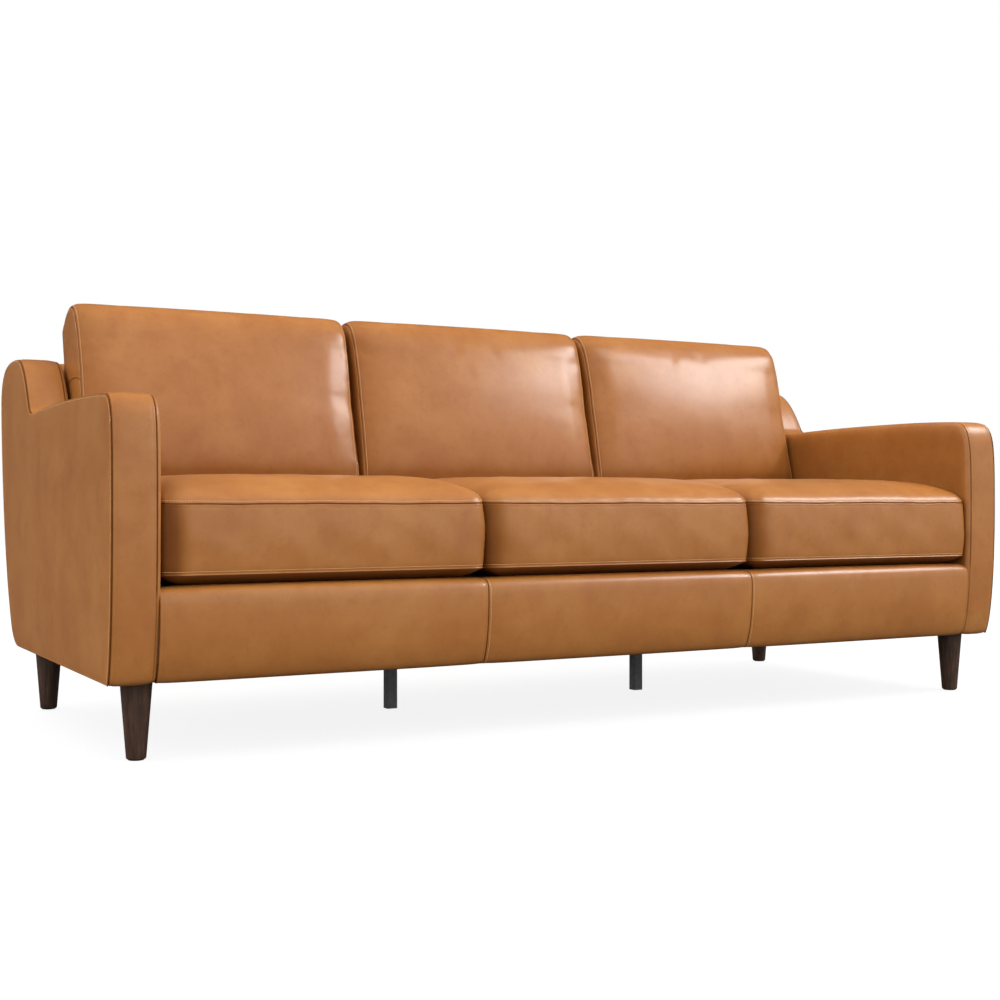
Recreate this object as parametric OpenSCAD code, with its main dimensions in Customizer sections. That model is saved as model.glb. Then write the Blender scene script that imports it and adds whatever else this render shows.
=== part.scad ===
// A three-seat sofa with slim arms that sweep up into wings, loose seat and back cushions,
// round tapered wooden legs and two posts under the middle of the seat frame.
// Units are mm. X runs along the sofa, its front faces -Y and the floor is Z = 0.
// Depths are written from the lower front edge of the body, and place() centres them on Y = 0.

/* [Overall] */
// Width over the two arms
sofa_w = 2070; // [1800:10:2300]
// Depth from the bulge of the arm fronts to the back
sofa_d = 986; // [900:2:1050]
// Height of the underside of the body
base_z = 135.6; // [100:0.2:180]
// Height of the top of the arms
arm_h = 637; // [560:1:700]
// Height of the wings and of the top of the back frame
wing_h = 752.6; // [700:0.2:800]
// Thickness of an arm
arm_t = 85.6; // [60:0.2:120]
// How far the arm fronts and the front rail bulge past the lower front edge
bulge = 28; // [0:1:60]
// Lean of the back from upright, as depth gained per height
lean = 0.24; // [0.1:0.01:0.4]

/* [Covering] */
// Thickness of the leather
leather_t = 2; // [1:0.1:3]
// Thickness of the padding that rounds the arms
arm_pad = 20.5; // [10:0.5:30]
// Thickness of the padding of the inside back
back_pad = 12; // [6:1:30]

/* [Seat cushions] */
// Number of seats
seats = 3; // [2:1:4]
// Gap between two seat cushions
seat_gap = 4; // [1:0.5:10]
// Height of the top of the seat deck
deck_z = 301; // [280:1:330]
// Height of the lower seam of the seat cushions
seat_seam_low = 319; // [305:1:340]
// Height of the upper seam of the seat cushions
seat_seam_high = 443; // [400:1:480]
// Height of the crown of the seat cushions
seat_crown = 500; // [450:1:520]
// Depth of the fronts of the seat cushions behind the lower front edge of the body
seat_front = -24; // [-30:1:40]

/* [Back cushions] */
// Width of a back cushion between its side seams
back_w = 614; // [500:2:640]
// Distance between the middles of two back cushions
back_pitch = 630; // [600:1:660]
// Height of the lower edge of the back cushions
back_low = 475; // [440:1:510]
// Length of a back cushion along its lean
back_len = 420; // [350:1:480]
// Thickness of a back cushion between its front and rear seams
back_thick = 146; // [100:1:200]

/* [Legs and posts] */
// Diameter of a leg at the top
leg_top_d = 56; // [40:1:80]
// Diameter of a leg at the floor
leg_foot_d = 34; // [20:1:60]
// Distance of the legs from the middle of the sofa along X
leg_x = 970; // [850:1:1000]
// Depth of the front legs
leg_front_y = 54; // [30:1:120]
// Depth of the rear legs
leg_rear_y = 762; // [650:1:800]
// Distance of the centre posts from the middle of the sofa along X
post_x = 320; // [200:1:500]
// Depth of the centre posts
post_y = 417; // [300:1:550]
// Side of a centre post
post_side = 24; // [18:1:40]

/* [Springs] */
// Number of springs under each seat
springs_per_seat = 4; // [3:1:6]
// Thickness of the spring wire
wire_t = 3.8; // [3:0.1:5]
// Length of one wave of a spring
spring_pitch = 50; // [40:1:80]
// Width of a spring
spring_w = 50; // [30:1:60]

/* [Hidden] */
$fn = 48;
curve_steps = 8;
clear = 0.4;
half_w = sofa_w / 2;
inner_x = half_w - arm_t;
mid_y = sofa_d / 2 - bulge;
rear_y = sofa_d - bulge;

// Stacking of the arms along X
lining_x = inner_x + leather_t;
outer_lining_x = half_w - leather_t;
frame_x = lining_x + 9.6;
board_x = half_w - 23;
board_end_x = half_w - 5;

// Seat box
frame_z = 140;
block_top = 182;
rail_top = 262;
rail_t = 22;
rail_y = 25;
rear_rail_y = 700;
rail_end_x = frame_x - clear;
tongue_x = board_x - clear;
pad_z = 278;
deck_front = 70;
deck_rear = 690;
deck_x = inner_x - clear;
stretcher_w = 45;
stretcher_top = 190;
block_in_x = 900;
block_d = 80;
rear_block_end = 776;

// Back frame, as distances behind the front of the inside back
back_line_ref = 742;
back_line_z = 509;
web_at = 14.9;
web_t = 2.8;
tack_at = 18.5;
tack_t = 21;
upright_at = 40;
upright_t = 55;
top_rail_t = 60;
top_rail_z = 672;
top_rail_end = 716;
web_low = 330;
web_high = 700;
tack_low = 320;
tack_high = 390;
split_y = 860;

// Cushions
seat_pitch = 2 * inner_x / seats;
seat_half = (seat_pitch - seat_gap) / 2;
seat_rear = 688;
seat_corner = 28;
back_corner = 30;
back_crown = 22;
back_rear_crown = 14;
back_foot_y = back_line(back_low) - 170;
lean_angle = atan(lean);

// Fasteners
bolt_r = 4;
bolt_hole_r = 5;
plate_w = 44;
plate_t = 2;
dust_z = 136.2;
dust_t = 0.8;
screw_r = 2.5;
screw_len = 55;
spring_z = rail_top + 2;
spring_room = 12;
spring_start = rail_y + 9;
spring_end = rear_rail_y + 13;

leather = [0.74, 0.46, 0.24];
dark_wood = [0.24, 0.16, 0.11];
timber = [0.82, 0.68, 0.48];
plywood = [0.78, 0.62, 0.42];
foam = [0.94, 0.90, 0.78];
fibre = [0.97, 0.97, 0.95];
cloth = [0.16, 0.14, 0.13];
webbing = [0.20, 0.20, 0.22];
steel = [0.62, 0.63, 0.65];
black = [0.13, 0.13, 0.14];

// Points along a cubic curve, without its last point
function curve(a, b, c, d, n = curve_steps) =
  [for (i = [0:n - 1]) let (t = i / n, s = 1 - t) s*s*s*a + 3*s*s*t*b + 3*s*t*t*c + t*t*t*d];

function unit(v) = v / norm(v);
function right_of(v) = [v[1], -v[0]];

// A clockwise outline moved inwards by d
function inset(p, d) =
  [for (i = [0:len(p) - 1])
    let (
      before = p[(i + len(p) - 1) % len(p)],
      after = p[(i + 1) % len(p)],
      n1 = right_of(unit(p[i] - before)),
      n2 = right_of(unit(after - p[i]))
    )
    p[i] + d * (n1 + n2) / (1 + n1 * n2)];

// A clockwise rectangle with rounded corners
function round_rect(x0, x1, y0, y1, r, n = 5) =
  [for (q = [[x0 + r, y0 + r, 270], [x0 + r, y1 - r, 180], [x1 - r, y1 - r, 90], [x1 - r, y0 + r, 0]])
    for (i = [0:n]) let (a = q[2] - 90 * i / n) [q[0] + r * cos(a), q[1] + r * sin(a)]];

// Depth of the front of the inside back at a height
function back_line(z) = back_line_ref + lean * (z - back_line_z);

// Outline of an arm and its wing, seen from the side as depth and height
front_edge = curve([0, base_z], [-19, base_z + 32], [-bulge, base_z + 160], [-bulge, arm_h - 215]);
front_corner = curve(
  [-bulge, arm_h - 215], [-bulge, arm_h - 60], [-bulge, arm_h - 5], [22, arm_h - 5]
);
arm_top = curve([22, arm_h - 5], [160, arm_h + 4], [430, arm_h + 0.5], [600, arm_h - 8]);
notch = curve([600, arm_h - 8], [628, arm_h - 9.5], [642, arm_h - 8], [654, arm_h + 4]);
wing_front = curve([654, arm_h + 4], [674, arm_h + 39], [694, arm_h + 75], [727, wing_h - 17]);
wing_top = curve([727, wing_h - 17], [745, wing_h - 4], [770, wing_h], [806, wing_h]);
rear_top = curve([806, wing_h], [893, wing_h], [952, wing_h - 19.6], [rear_y, wing_h - 81]);
rear_edge = curve([rear_y, wing_h - 81], [rear_y - 1, 560], [925, 360], [872, base_z + 107]);
rear_low = curve([872, base_z + 107], [850, base_z + 60], [824, base_z], [765, base_z]);
side_outline = concat(
  front_edge, front_corner, arm_top, notch, wing_front, wing_top, rear_top, rear_edge, rear_low,
  [[765, base_z]]
);
// The same outline carried down below the body, for pieces that end at the frame's underside
tall_outline = concat([[0, base_z - 60]], side_outline, [[765, base_z - 60]]);

// Outline of the front rail with its rolled top edge
rail_outline = concat(
  curve([0, base_z], [-19, base_z + 32], [-bulge + 4, base_z + 85], [-bulge + 4, deck_z - 32]),
  curve([-bulge + 4, deck_z - 32], [-bulge + 3.6, deck_z - 10], [-17, deck_z], [8, deck_z]),
  [[8, deck_z], [100, deck_z], [100, base_z]]
);

// Outline of the back between the arms
rear_top_rest = [for (i = [1:len(rear_top) - 1]) rear_top[i]];
back_outline = concat(
  [[back_line(base_z), base_z]],
  curve(
    [back_line(wing_h - 52), wing_h - 52], [back_line(wing_h - 52) + 6, wing_h - 26],
    [back_line(wing_h - 52) + 18, wing_h - 4], rear_top[1]
  ),
  rear_top_rest, rear_edge, rear_low, [[765, base_z]]
);

module place() {
  translate([0, -mid_y, 0]) children();
}

module left_side() {
  mirror([1, 0, 0]) children();
}

// A depth and height outline swept along X from x0 to x1
module swept(x0, x1, outline) {
  translate([x0, 0, 0]) rotate([90, 0, 90]) linear_extrude(x1 - x0) polygon(outline);
}

// A width and height outline swept along Y through everything
module front_view() {
  translate([0, sofa_d, 0]) rotate([90, 0, 0]) linear_extrude(2 * sofa_d) children();
}

// A box from its ranges along X, Y and Z
module block(x, y, z) {
  translate([x[0], y[0], z[0]]) cube([x[1] - x[0], y[1] - y[0], z[1] - z[0]]);
}

// A leaning board of depth t that starts a distance behind the front of the inside back
module leaning(x0, x1, at, t, z0, z1) {
  swept(x0, x1, [
    [back_line(z0) + at, z0], [back_line(z1) + at, z1],
    [back_line(z1) + at + t, z1], [back_line(z0) + at + t, z0]
  ]);
}

// Space inside the padding of an arm, where its frame stands
module arm_core(x0, x1) {
  intersection() {
    swept(x0, x1, inset(tall_outline, leather_t + arm_pad));
    block([x0, x1], [rail_y - 0.1, sofa_d], [frame_z, sofa_d]);
  }
}

// Seat frame ------------------------------------------------------------------

module seat_rail(y) {
  difference() {
    union() {
      block([-rail_end_x, rail_end_x], [y, y + rail_t], [frame_z, rail_top]);
      block([-tongue_x, tongue_x], [y, y + rail_t], [frame_z, block_top]);
    }
    frame_screw_set(screw_r + 0.1);
  }
}

module front_rail() {
  color(timber) place() seat_rail(rail_y);
}

module rear_rail() {
  color(timber) place() seat_rail(rear_rail_y);
}

module stretcher() {
  block(
    [post_x - stretcher_w / 2, post_x + stretcher_w / 2],
    [rail_y + rail_t + clear, rear_rail_y - clear], [frame_z, stretcher_top]
  );
}

module stretcher_left() {
  color(timber) place() left_side() stretcher();
}

module stretcher_right() {
  color(timber) place() stretcher();
}

module leg_block(y0, y1, bolt_y) {
  difference() {
    block([block_in_x, tongue_x], [y0, y1], [frame_z, block_top]);
    translate([leg_x, bolt_y, frame_z - 1]) cylinder(r = bolt_hole_r, h = block_top - frame_z + 2);
    frame_screw_set(screw_r + 0.1);
  }
}

module leg_blocks() {
  color(timber) place() for (side = [0, 1]) mirror([side, 0, 0]) {
    leg_block(rail_y + rail_t + clear, rail_y + rail_t + block_d, leg_front_y);
    leg_block(rear_rail_y + rail_t + clear, rear_block_end, leg_rear_y);
  }
}

// Screws that hold the leg blocks to the rails, with flush heads in the rails
module frame_screw(x, y, way, r) {
  translate([x, y, (frame_z + block_top) / 2]) rotate([-90 * way, 0, 0]) {
    cylinder(r = r, h = screw_len);
    cylinder(r = r + 2, h = 3);
  }
}

module frame_screw_set(r) {
  for (side = [-1, 1]) for (x = [block_in_x + 15, block_in_x + 45]) {
    frame_screw(side * x, rail_y, 1, r);
    frame_screw(side * x, rear_rail_y, 1, r);
  }
}

module frame_screws() {
  color(steel) place() frame_screw_set(screw_r);
}

// Arm frames ------------------------------------------------------------------

module arm_board() {
  difference() {
    arm_core(board_x, board_end_x);
    block([board_x - 1, board_end_x + 1], [130, 620], [230, 540]);
  }
}

module arm_board_left() {
  color(plywood) place() left_side() arm_board();
}

module arm_board_right() {
  color(plywood) place() arm_board();
}

arm_rail_low = arm_h - 72;
arm_rail_high = arm_h - 32;
arm_rail_end = back_line(arm_rail_low) + upright_at - clear;

module front_post() {
  block([frame_x, tongue_x], [rail_y, rail_y + 60], [block_top + clear, arm_rail_low - clear]);
}

module front_post_left() {
  color(timber) place() left_side() front_post();
}

module front_post_right() {
  color(timber) place() front_post();
}

module arm_top_rail() {
  block([frame_x, tongue_x], [rail_y, arm_rail_end], [arm_rail_low, arm_rail_high]);
}

module arm_top_rail_left() {
  color(timber) place() left_side() arm_top_rail();
}

module arm_top_rail_right() {
  color(timber) place() arm_top_rail();
}

module wing_post() {
  intersection() {
    leaning(frame_x, tongue_x, upright_at, upright_t, block_top + clear, wing_h);
    arm_core(frame_x, tongue_x);
  }
}

module wing_post_left() {
  color(timber) place() left_side() wing_post();
}

module wing_post_right() {
  color(timber) place() wing_post();
}

// Back frame ------------------------------------------------------------------

module back_top_rail() {
  color(timber) place()
    leaning(-rail_end_x, rail_end_x, tack_at, top_rail_t, top_rail_z, top_rail_end);
}

module back_tack_rail() {
  color(timber) place() leaning(-rail_end_x, rail_end_x, tack_at, tack_t, tack_low, tack_high);
}

module back_upright() {
  difference() {
    leaning(
      post_x - stretcher_w / 2, post_x + stretcher_w / 2, upright_at, upright_t,
      block_top + clear, top_rail_z - clear
    );
    block([0, half_w], [0, rear_rail_y + rail_t + clear], [0, rail_top + clear]);
  }
}

module back_upright_left() {
  color(timber) place() left_side() back_upright();
}

module back_upright_right() {
  color(timber) place() back_upright();
}

// Springs and webbing ---------------------------------------------------------

spring_steps = 8;
spring_waves = round((spring_end - spring_start) / spring_pitch);
function wave(i) =
  let (a = 360 * i / spring_steps)
  [
    (spring_w - wire_t) / 2 * sin(a),
    (spring_end - spring_start) * i / (spring_steps * spring_waves) - spring_pitch / 10 * sin(2 * a)
  ];
function wave_side(i) = right_of(unit(wave(i + 0.2) - wave(i - 0.2)));
spring_outline = concat(
  [for (i = [0:spring_steps * spring_waves]) wave(i) + wire_t / 2 * wave_side(i)],
  [for (i = [spring_steps * spring_waves:-1:0]) wave(i) - wire_t / 2 * wave_side(i)]
);

function spring_x(k) = (k - (seats * springs_per_seat - 1) / 2) * seat_pitch / springs_per_seat;

module seat_springs() {
  color(steel) place() for (k = [0:seats * springs_per_seat - 1])
    translate([spring_x(k), spring_start, spring_z]) linear_extrude(wire_t) polygon(spring_outline);
}

// A clip that is nailed to a rail and folds over the end of a spring
module spring_clip() {
  difference() {
    block([-9, 9], [-7, 5], [rail_top, spring_z + wire_t + 1.8]);
    block([-10, 10], [-5, 6], [spring_z - 0.2, spring_z + wire_t + 0.2]);
  }
}

module spring_clips() {
  color(steel) place() for (k = [0:seats * springs_per_seat - 1]) {
    translate([spring_x(k), spring_start, 0]) spring_clip();
    translate([spring_x(k), spring_end, 0]) mirror([0, 1, 0]) spring_clip();
  }
}

tie_r = 1.4;
tie_x = deck_x - 20;

module tie_wires() {
  color(steel) place() for (part = [1, 2])
    translate([-tie_x, spring_start + part * (spring_end - spring_start) / 3, spring_z + wire_t + tie_r])
      rotate([0, 90, 0]) cylinder(r = tie_r, h = 2 * tie_x);
}

module back_webbing() {
  color(webbing) place() for (k = [0:seats * springs_per_seat - 1])
    leaning(spring_x(k) - 25, spring_x(k) + 25, web_at, web_t, web_low, web_high);
}

// Seat deck and front rail covering ------------------------------------------

module deck_pad() {
  color(foam) place()
    block([-deck_x, deck_x], [deck_front + clear, deck_rear], [pad_z, deck_z - leather_t]);
}

module deck_cloth() {
  color(cloth) place()
    block([-deck_x, deck_x], [deck_front + clear, deck_rear], [deck_z - leather_t, deck_z]);
}

module front_padding() {
  color(foam) place() difference() {
    swept(-deck_x, deck_x, inset(rail_outline, leather_t));
    block([-half_w, half_w], [rail_y, sofa_d], [0, rail_top + spring_room]);
    block([-half_w, half_w], [deck_front, sofa_d], [0, sofa_d]);
    block([-half_w, half_w], [-sofa_d, sofa_d], [0, frame_z]);
  }
}

module front_panel(x0, x1) {
  difference() {
    swept(x0, x1, rail_outline);
    swept(x0 - 1, x1 + 1, inset(rail_outline, leather_t));
    block([x0 - 1, x1 + 1], [deck_front, sofa_d], [0, sofa_d]);
    block([x0 - 1, x1 + 1], [rail_y - 5, sofa_d], [0, frame_z]);
  }
}

module front_panel_left() {
  color(leather) place() left_side() front_panel(seat_pitch / 2 + 0.2, inner_x);
}

module front_panel_middle() {
  color(leather) place() front_panel(-seat_pitch / 2 + 0.2, seat_pitch / 2 - 0.2);
}

module front_panel_right() {
  color(leather) place() front_panel(seat_pitch / 2 + 0.2, inner_x);
}

// Arm upholstery --------------------------------------------------------------

// Everything behind the front of the inside back, for x0 to x1
module behind_back(x0, x1) {
  leaning(x0, x1, -clear, sofa_d, 0, wing_h + 50);
}

module arm_padding() {
  difference() {
    swept(lining_x, outer_lining_x, inset(side_outline, leather_t));
    arm_core(frame_x - 0.01, board_end_x + 0.01);
    block([lining_x - 1, frame_x], [rail_y - 0.1, sofa_d], [0, deck_z + clear]);
    behind_back(lining_x - 1, frame_x);
    block([lining_x - 1, half_w], [-sofa_d, sofa_d], [0, frame_z]);
    block([lining_x - 1, board_x], [rear_rail_y, rear_block_end + clear], [0, block_top + clear]);
  }
}

module arm_padding_left() {
  color(foam) place() left_side() arm_padding();
}

module arm_padding_right() {
  color(foam) place() arm_padding();
}

module arm_outer_panel() {
  swept(outer_lining_x, half_w, side_outline);
}

module arm_outer_panel_left() {
  color(leather) place() left_side() arm_outer_panel();
}

module arm_outer_panel_right() {
  color(leather) place() arm_outer_panel();
}

module arm_inner_panel() {
  difference() {
    swept(inner_x, lining_x, side_outline);
    behind_back(inner_x - 1, lining_x + 1);
    block([inner_x - 1, lining_x + 1], [8, sofa_d], [0, deck_z + clear]);
    block([inner_x - 1, lining_x + 1], [-sofa_d, 8], [0, deck_z - 6]);
  }
}

module arm_inner_panel_left() {
  color(leather) place() left_side() arm_inner_panel();
}

module arm_inner_panel_right() {
  color(leather) place() arm_inner_panel();
}

module arm_band() {
  difference() {
    swept(lining_x, outer_lining_x, side_outline);
    swept(lining_x - 1, outer_lining_x + 1, inset(side_outline, leather_t));
    block([lining_x - 1, outer_lining_x + 1], [rail_y - 5, leg_rear_y + plate_w / 2 + 3], [0, frame_z]);
  }
}

module arm_band_left() {
  color(leather) place() left_side() arm_band();
}

module arm_band_right() {
  color(leather) place() arm_band();
}

// Back upholstery -------------------------------------------------------------

module back_padding() {
  color(foam) place() intersection() {
    difference() {
      swept(-lining_x + clear, lining_x - clear, inset(back_outline, leather_t));
      swept(-half_w, half_w, inset(back_outline, leather_t + back_pad));
    }
    block([-half_w, half_w], [0, split_y], [deck_z + 3, sofa_d]);
  }
}

module back_skin() {
  difference() {
    swept(-lining_x + clear, lining_x - clear, back_outline);
    swept(-half_w, half_w, inset(back_outline, leather_t));
  }
}

module inside_back_panel() {
  color(leather) place() intersection() {
    back_skin();
    block([-half_w, half_w], [0, split_y], [deck_z + 3, sofa_d]);
  }
}

module outside_back_panel() {
  color(leather) place() intersection() {
    back_skin();
    union() {
      block([-half_w, half_w], [split_y + clear, sofa_d], [0, sofa_d]);
      block([-half_w, half_w], [leg_rear_y + plate_w / 2 + 3, sofa_d], [0, deck_z]);
    }
  }
}

module dust_cover() {
  color(cloth) place() difference() {
    block([-half_w + 10, half_w - 10], [rail_y - 4, 760], [dust_z, dust_z + dust_t]);
    for (x = [-leg_x, leg_x]) for (y = [leg_front_y, leg_rear_y])
      translate([x, y, dust_z - 1]) cylinder(r = bolt_hole_r, h = dust_t + 2);
    for (x = [-post_x, post_x])
      translate([x, post_y, dust_z - 1]) cylinder(r = post_side, h = dust_t + 2);
  }
}

// Seat cushions ---------------------------------------------------------------

seat_side_outline = concat(
  curve([seat_front + 45, deck_z + 1], [seat_front + 15, deck_z + 1], [seat_front, seat_seam_low - 10],
    [seat_front, seat_seam_low], 4),
  curve([seat_front, seat_seam_high], [seat_front + 6, seat_seam_high + 29], [seat_front + 85, seat_crown],
    [seat_front + 200, seat_crown]),
  curve([360, seat_crown], [450, seat_crown], [600, seat_seam_high + 12], [seat_rear, seat_seam_high]),
  [[seat_rear, seat_seam_high]],
  curve([seat_rear, seat_seam_low], [seat_rear, seat_seam_low - 10], [seat_rear - 15, deck_z + 1],
    [seat_rear - 45, deck_z + 1], 4)
);

seat_half_outline = concat(
  curve([-seat_half + 45, deck_z + 1], [-seat_half + 15, deck_z + 1], [-seat_half, seat_seam_low - 10],
    [-seat_half, seat_seam_low], 4),
  curve([-seat_half, seat_seam_high], [-seat_half + 4, seat_seam_high + 32], [-seat_half + 60, seat_crown],
    [-seat_half + 170, seat_crown])
);
seat_front_outline = concat(
  seat_half_outline,
  [for (i = [len(seat_half_outline) - 1:-1:0]) [-seat_half_outline[i][0], seat_half_outline[i][1]]]
);

seat_plan_outline = round_rect(-seat_half, seat_half, seat_front, seat_rear, seat_corner);

// A crowned box: its plan, front view and side view, each moved inwards by d
module seat_shape(d) {
  intersection() {
    linear_extrude(sofa_d) polygon(inset(seat_plan_outline, d));
    swept(-half_w, half_w, inset(seat_side_outline, d));
    front_view() polygon(inset(seat_front_outline, d));
  }
}

module seat_cover(k) {
  translate([k * seat_pitch, 0, 0]) difference() {
    seat_shape(0);
    seat_shape(leather_t);
  }
}

module seat_cover_left() {
  color(leather) place() seat_cover(-1);
}

module seat_cover_middle() {
  color(leather) place() seat_cover(0);
}

module seat_cover_right() {
  color(leather) place() seat_cover(1);
}

module seat_foam_left() {
  color(foam) place() translate([-seat_pitch, 0, 0]) seat_shape(leather_t);
}

module seat_foam_middle() {
  color(foam) place() seat_shape(leather_t);
}

module seat_foam_right() {
  color(foam) place() translate([seat_pitch, 0, 0]) seat_shape(leather_t);
}

// Back cushions ---------------------------------------------------------------

// Side view as thickness and length along the lean, with the front and rear crowned
back_side_outline = concat(
  [[14, 0]],
  curve([0, 14], [-back_crown * 1.2, back_len * 0.25], [-back_crown * 1.36, back_len * 0.56],
    [-back_crown * 0.55, back_len * 0.8]),
  curve([-back_crown * 0.55, back_len * 0.8], [0, back_len * 0.945], [20, back_len], [62, back_len]),
  curve([62, back_len], [100, back_len], [back_thick, back_len * 0.95], [back_thick, back_len * 0.84]),
  curve([back_thick, back_len * 0.84], [back_thick + back_rear_crown * 1.3, back_len * 0.6],
    [back_thick + back_rear_crown * 1.3, back_len * 0.25], [back_thick, 14]),
  [[back_thick, 14], [back_thick - 14, 0]]
);

// Plan as width and thickness
back_plan_outline = concat(
  [[-back_w / 2, 0]],
  curve([-back_w / 2, back_thick], [-back_w / 2 + 60, back_thick + back_rear_crown],
    [-60, back_thick + back_rear_crown], [0, back_thick + back_rear_crown]),
  curve([0, back_thick + back_rear_crown], [60, back_thick + back_rear_crown],
    [back_w / 2 - 60, back_thick + back_rear_crown], [back_w / 2, back_thick]),
  [[back_w / 2, back_thick]],
  curve([back_w / 2, 0], [back_w / 2 - 60, -back_crown], [60, -back_crown], [0, -back_crown]),
  curve([0, -back_crown], [-60, -back_crown], [-back_w / 2 + 60, -back_crown], [-back_w / 2, 0])
);

module back_shape(d) {
  intersection() {
    swept(-half_w, half_w, inset(back_side_outline, d));
    linear_extrude(sofa_d) polygon(inset(back_plan_outline, d));
    front_view() polygon(inset(round_rect(-back_w / 2, back_w / 2, 0, back_len, back_corner), d));
  }
}

module lean_back(k) {
  translate([k * back_pitch, back_foot_y, back_low]) rotate([-lean_angle, 0, 0]) children();
}

module back_cover(k) {
  lean_back(k) difference() {
    back_shape(0);
    back_shape(leather_t);
  }
}

module back_cover_left() {
  color(leather) place() back_cover(-1);
}

module back_cover_middle() {
  color(leather) place() back_cover(0);
}

module back_cover_right() {
  color(leather) place() back_cover(1);
}

module back_fill_left() {
  color(fibre) place() lean_back(-1) back_shape(leather_t);
}

module back_fill_middle() {
  color(fibre) place() lean_back(0) back_shape(leather_t);
}

module back_fill_right() {
  color(fibre) place() lean_back(1) back_shape(leather_t);
}

// Legs, plates and posts ------------------------------------------------------

bolt_low = 96;
bolt_high = 176;

module leg(x, y) {
  translate([x, y, 0]) difference() {
    cylinder(d1 = leg_foot_d, d2 = leg_top_d, h = base_z);
    translate([0, 0, bolt_low]) cylinder(r = bolt_r, h = base_z);
  }
}

module leg_front_left() {
  color(dark_wood) place() leg(-leg_x, leg_front_y);
}

module leg_front_right() {
  color(dark_wood) place() leg(leg_x, leg_front_y);
}

module leg_rear_left() {
  color(dark_wood) place() leg(-leg_x, leg_rear_y);
}

module leg_rear_right() {
  color(dark_wood) place() leg(leg_x, leg_rear_y);
}

module at_legs() {
  for (x = [-leg_x, leg_x]) for (y = [leg_front_y, leg_rear_y]) translate([x, y, 0]) children();
}

module leg_bolts() {
  color(steel) place() at_legs() translate([0, 0, bolt_low]) cylinder(r = bolt_r, h = bolt_high - bolt_low);
}

module leg_plates() {
  color(steel) place() at_legs() difference() {
    translate([-plate_w / 2, -plate_w / 2, frame_z - plate_t]) cube([plate_w, plate_w, plate_t]);
    translate([0, 0, frame_z - 5]) cylinder(r = bolt_r + 0.2, h = 10);
  }
}

// A square post with rounded edges and a plate welded to its top
module centre_post(x) {
  translate([x, post_y, 0]) {
    linear_extrude(frame_z - plate_t)
      polygon(round_rect(-post_side / 2, post_side / 2, -post_side / 2, post_side / 2, 3.5));
    translate([-20, -20, frame_z - plate_t]) cube([40, 40, plate_t]);
  }
}

module centre_post_left() {
  color(black) place() centre_post(-post_x);
}

module centre_post_right() {
  color(black) place() centre_post(post_x);
}

front_rail();
rear_rail();
stretcher_left();
stretcher_right();
leg_blocks();
arm_board_left();
arm_board_right();
front_post_left();
front_post_right();
arm_top_rail_left();
arm_top_rail_right();
wing_post_left();
wing_post_right();
back_top_rail();
back_tack_rail();
back_upright_left();
back_upright_right();
seat_springs();
spring_clips();
tie_wires();
back_webbing();
deck_pad();
deck_cloth();
front_padding();
front_panel_left();
front_panel_middle();
front_panel_right();
arm_padding_left();
arm_padding_right();
arm_outer_panel_left();
arm_outer_panel_right();
arm_inner_panel_left();
arm_inner_panel_right();
arm_band_left();
arm_band_right();
back_padding();
inside_back_panel();
outside_back_panel();
dust_cover();
seat_cover_left();
seat_cover_middle();
seat_cover_right();
seat_foam_left();
seat_foam_middle();
seat_foam_right();
back_cover_left();
back_cover_middle();
back_cover_right();
back_fill_left();
back_fill_middle();
back_fill_right();
leg_front_left();
leg_front_right();
leg_rear_left();
leg_rear_right();
leg_bolts();
leg_plates();
frame_screws();
centre_post_left();
centre_post_right();
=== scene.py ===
import math

import bpy
import numpy as np
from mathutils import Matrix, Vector


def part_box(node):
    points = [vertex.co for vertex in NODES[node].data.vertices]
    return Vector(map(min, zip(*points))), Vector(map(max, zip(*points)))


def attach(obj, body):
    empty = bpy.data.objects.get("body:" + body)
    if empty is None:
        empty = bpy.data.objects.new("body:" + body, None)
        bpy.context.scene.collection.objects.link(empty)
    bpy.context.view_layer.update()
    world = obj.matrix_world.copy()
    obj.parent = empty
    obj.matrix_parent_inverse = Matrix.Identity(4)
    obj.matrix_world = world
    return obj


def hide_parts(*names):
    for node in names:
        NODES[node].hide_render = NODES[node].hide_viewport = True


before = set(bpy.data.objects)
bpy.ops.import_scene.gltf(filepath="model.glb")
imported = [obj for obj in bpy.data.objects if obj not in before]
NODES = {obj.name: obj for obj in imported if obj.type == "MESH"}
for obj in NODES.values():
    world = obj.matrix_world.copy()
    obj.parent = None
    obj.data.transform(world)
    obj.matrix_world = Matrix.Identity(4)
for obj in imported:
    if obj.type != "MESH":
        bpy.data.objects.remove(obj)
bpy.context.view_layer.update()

MM = 0.001


# Numbers --------------------------------------------------


def corners(node):
    """Lowest and highest corner of a CAD node, in mm."""
    return [np.array(corner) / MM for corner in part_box(node)]


panel_lo, panel_hi = corners("arm_outer_panel_right")

# Sides of the right arm, and heights of the body's underside, the wings, the deck and the arms
OUTER_X = panel_hi[0]
INNER_X = corners("arm_inner_panel_right")[0][0]
BASE_Z = panel_lo[2]
WING_Z = panel_hi[2]
DECK_Z = corners("deck_cloth")[1][2]
ARM_Z = 637.0
# How far the arms bulge forwards; depths count backwards from FRONT_Y, the foot of the bulge
BULGE = 28.0
FRONT_Y = panel_lo[1] + BULGE
REAR_Y = panel_hi[1] - FRONT_Y
# Depth that the back gains for each mm of height
LEAN = 0.24
# Where the arm's outer seam, the back's side seams and the rail's two inner seams lie
SEAM_X = OUTER_X - 3.5
BACK_SEAM_X = INNER_X + 1.0
RAIL_SEAM_X = 2 * INNER_X / 6
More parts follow.
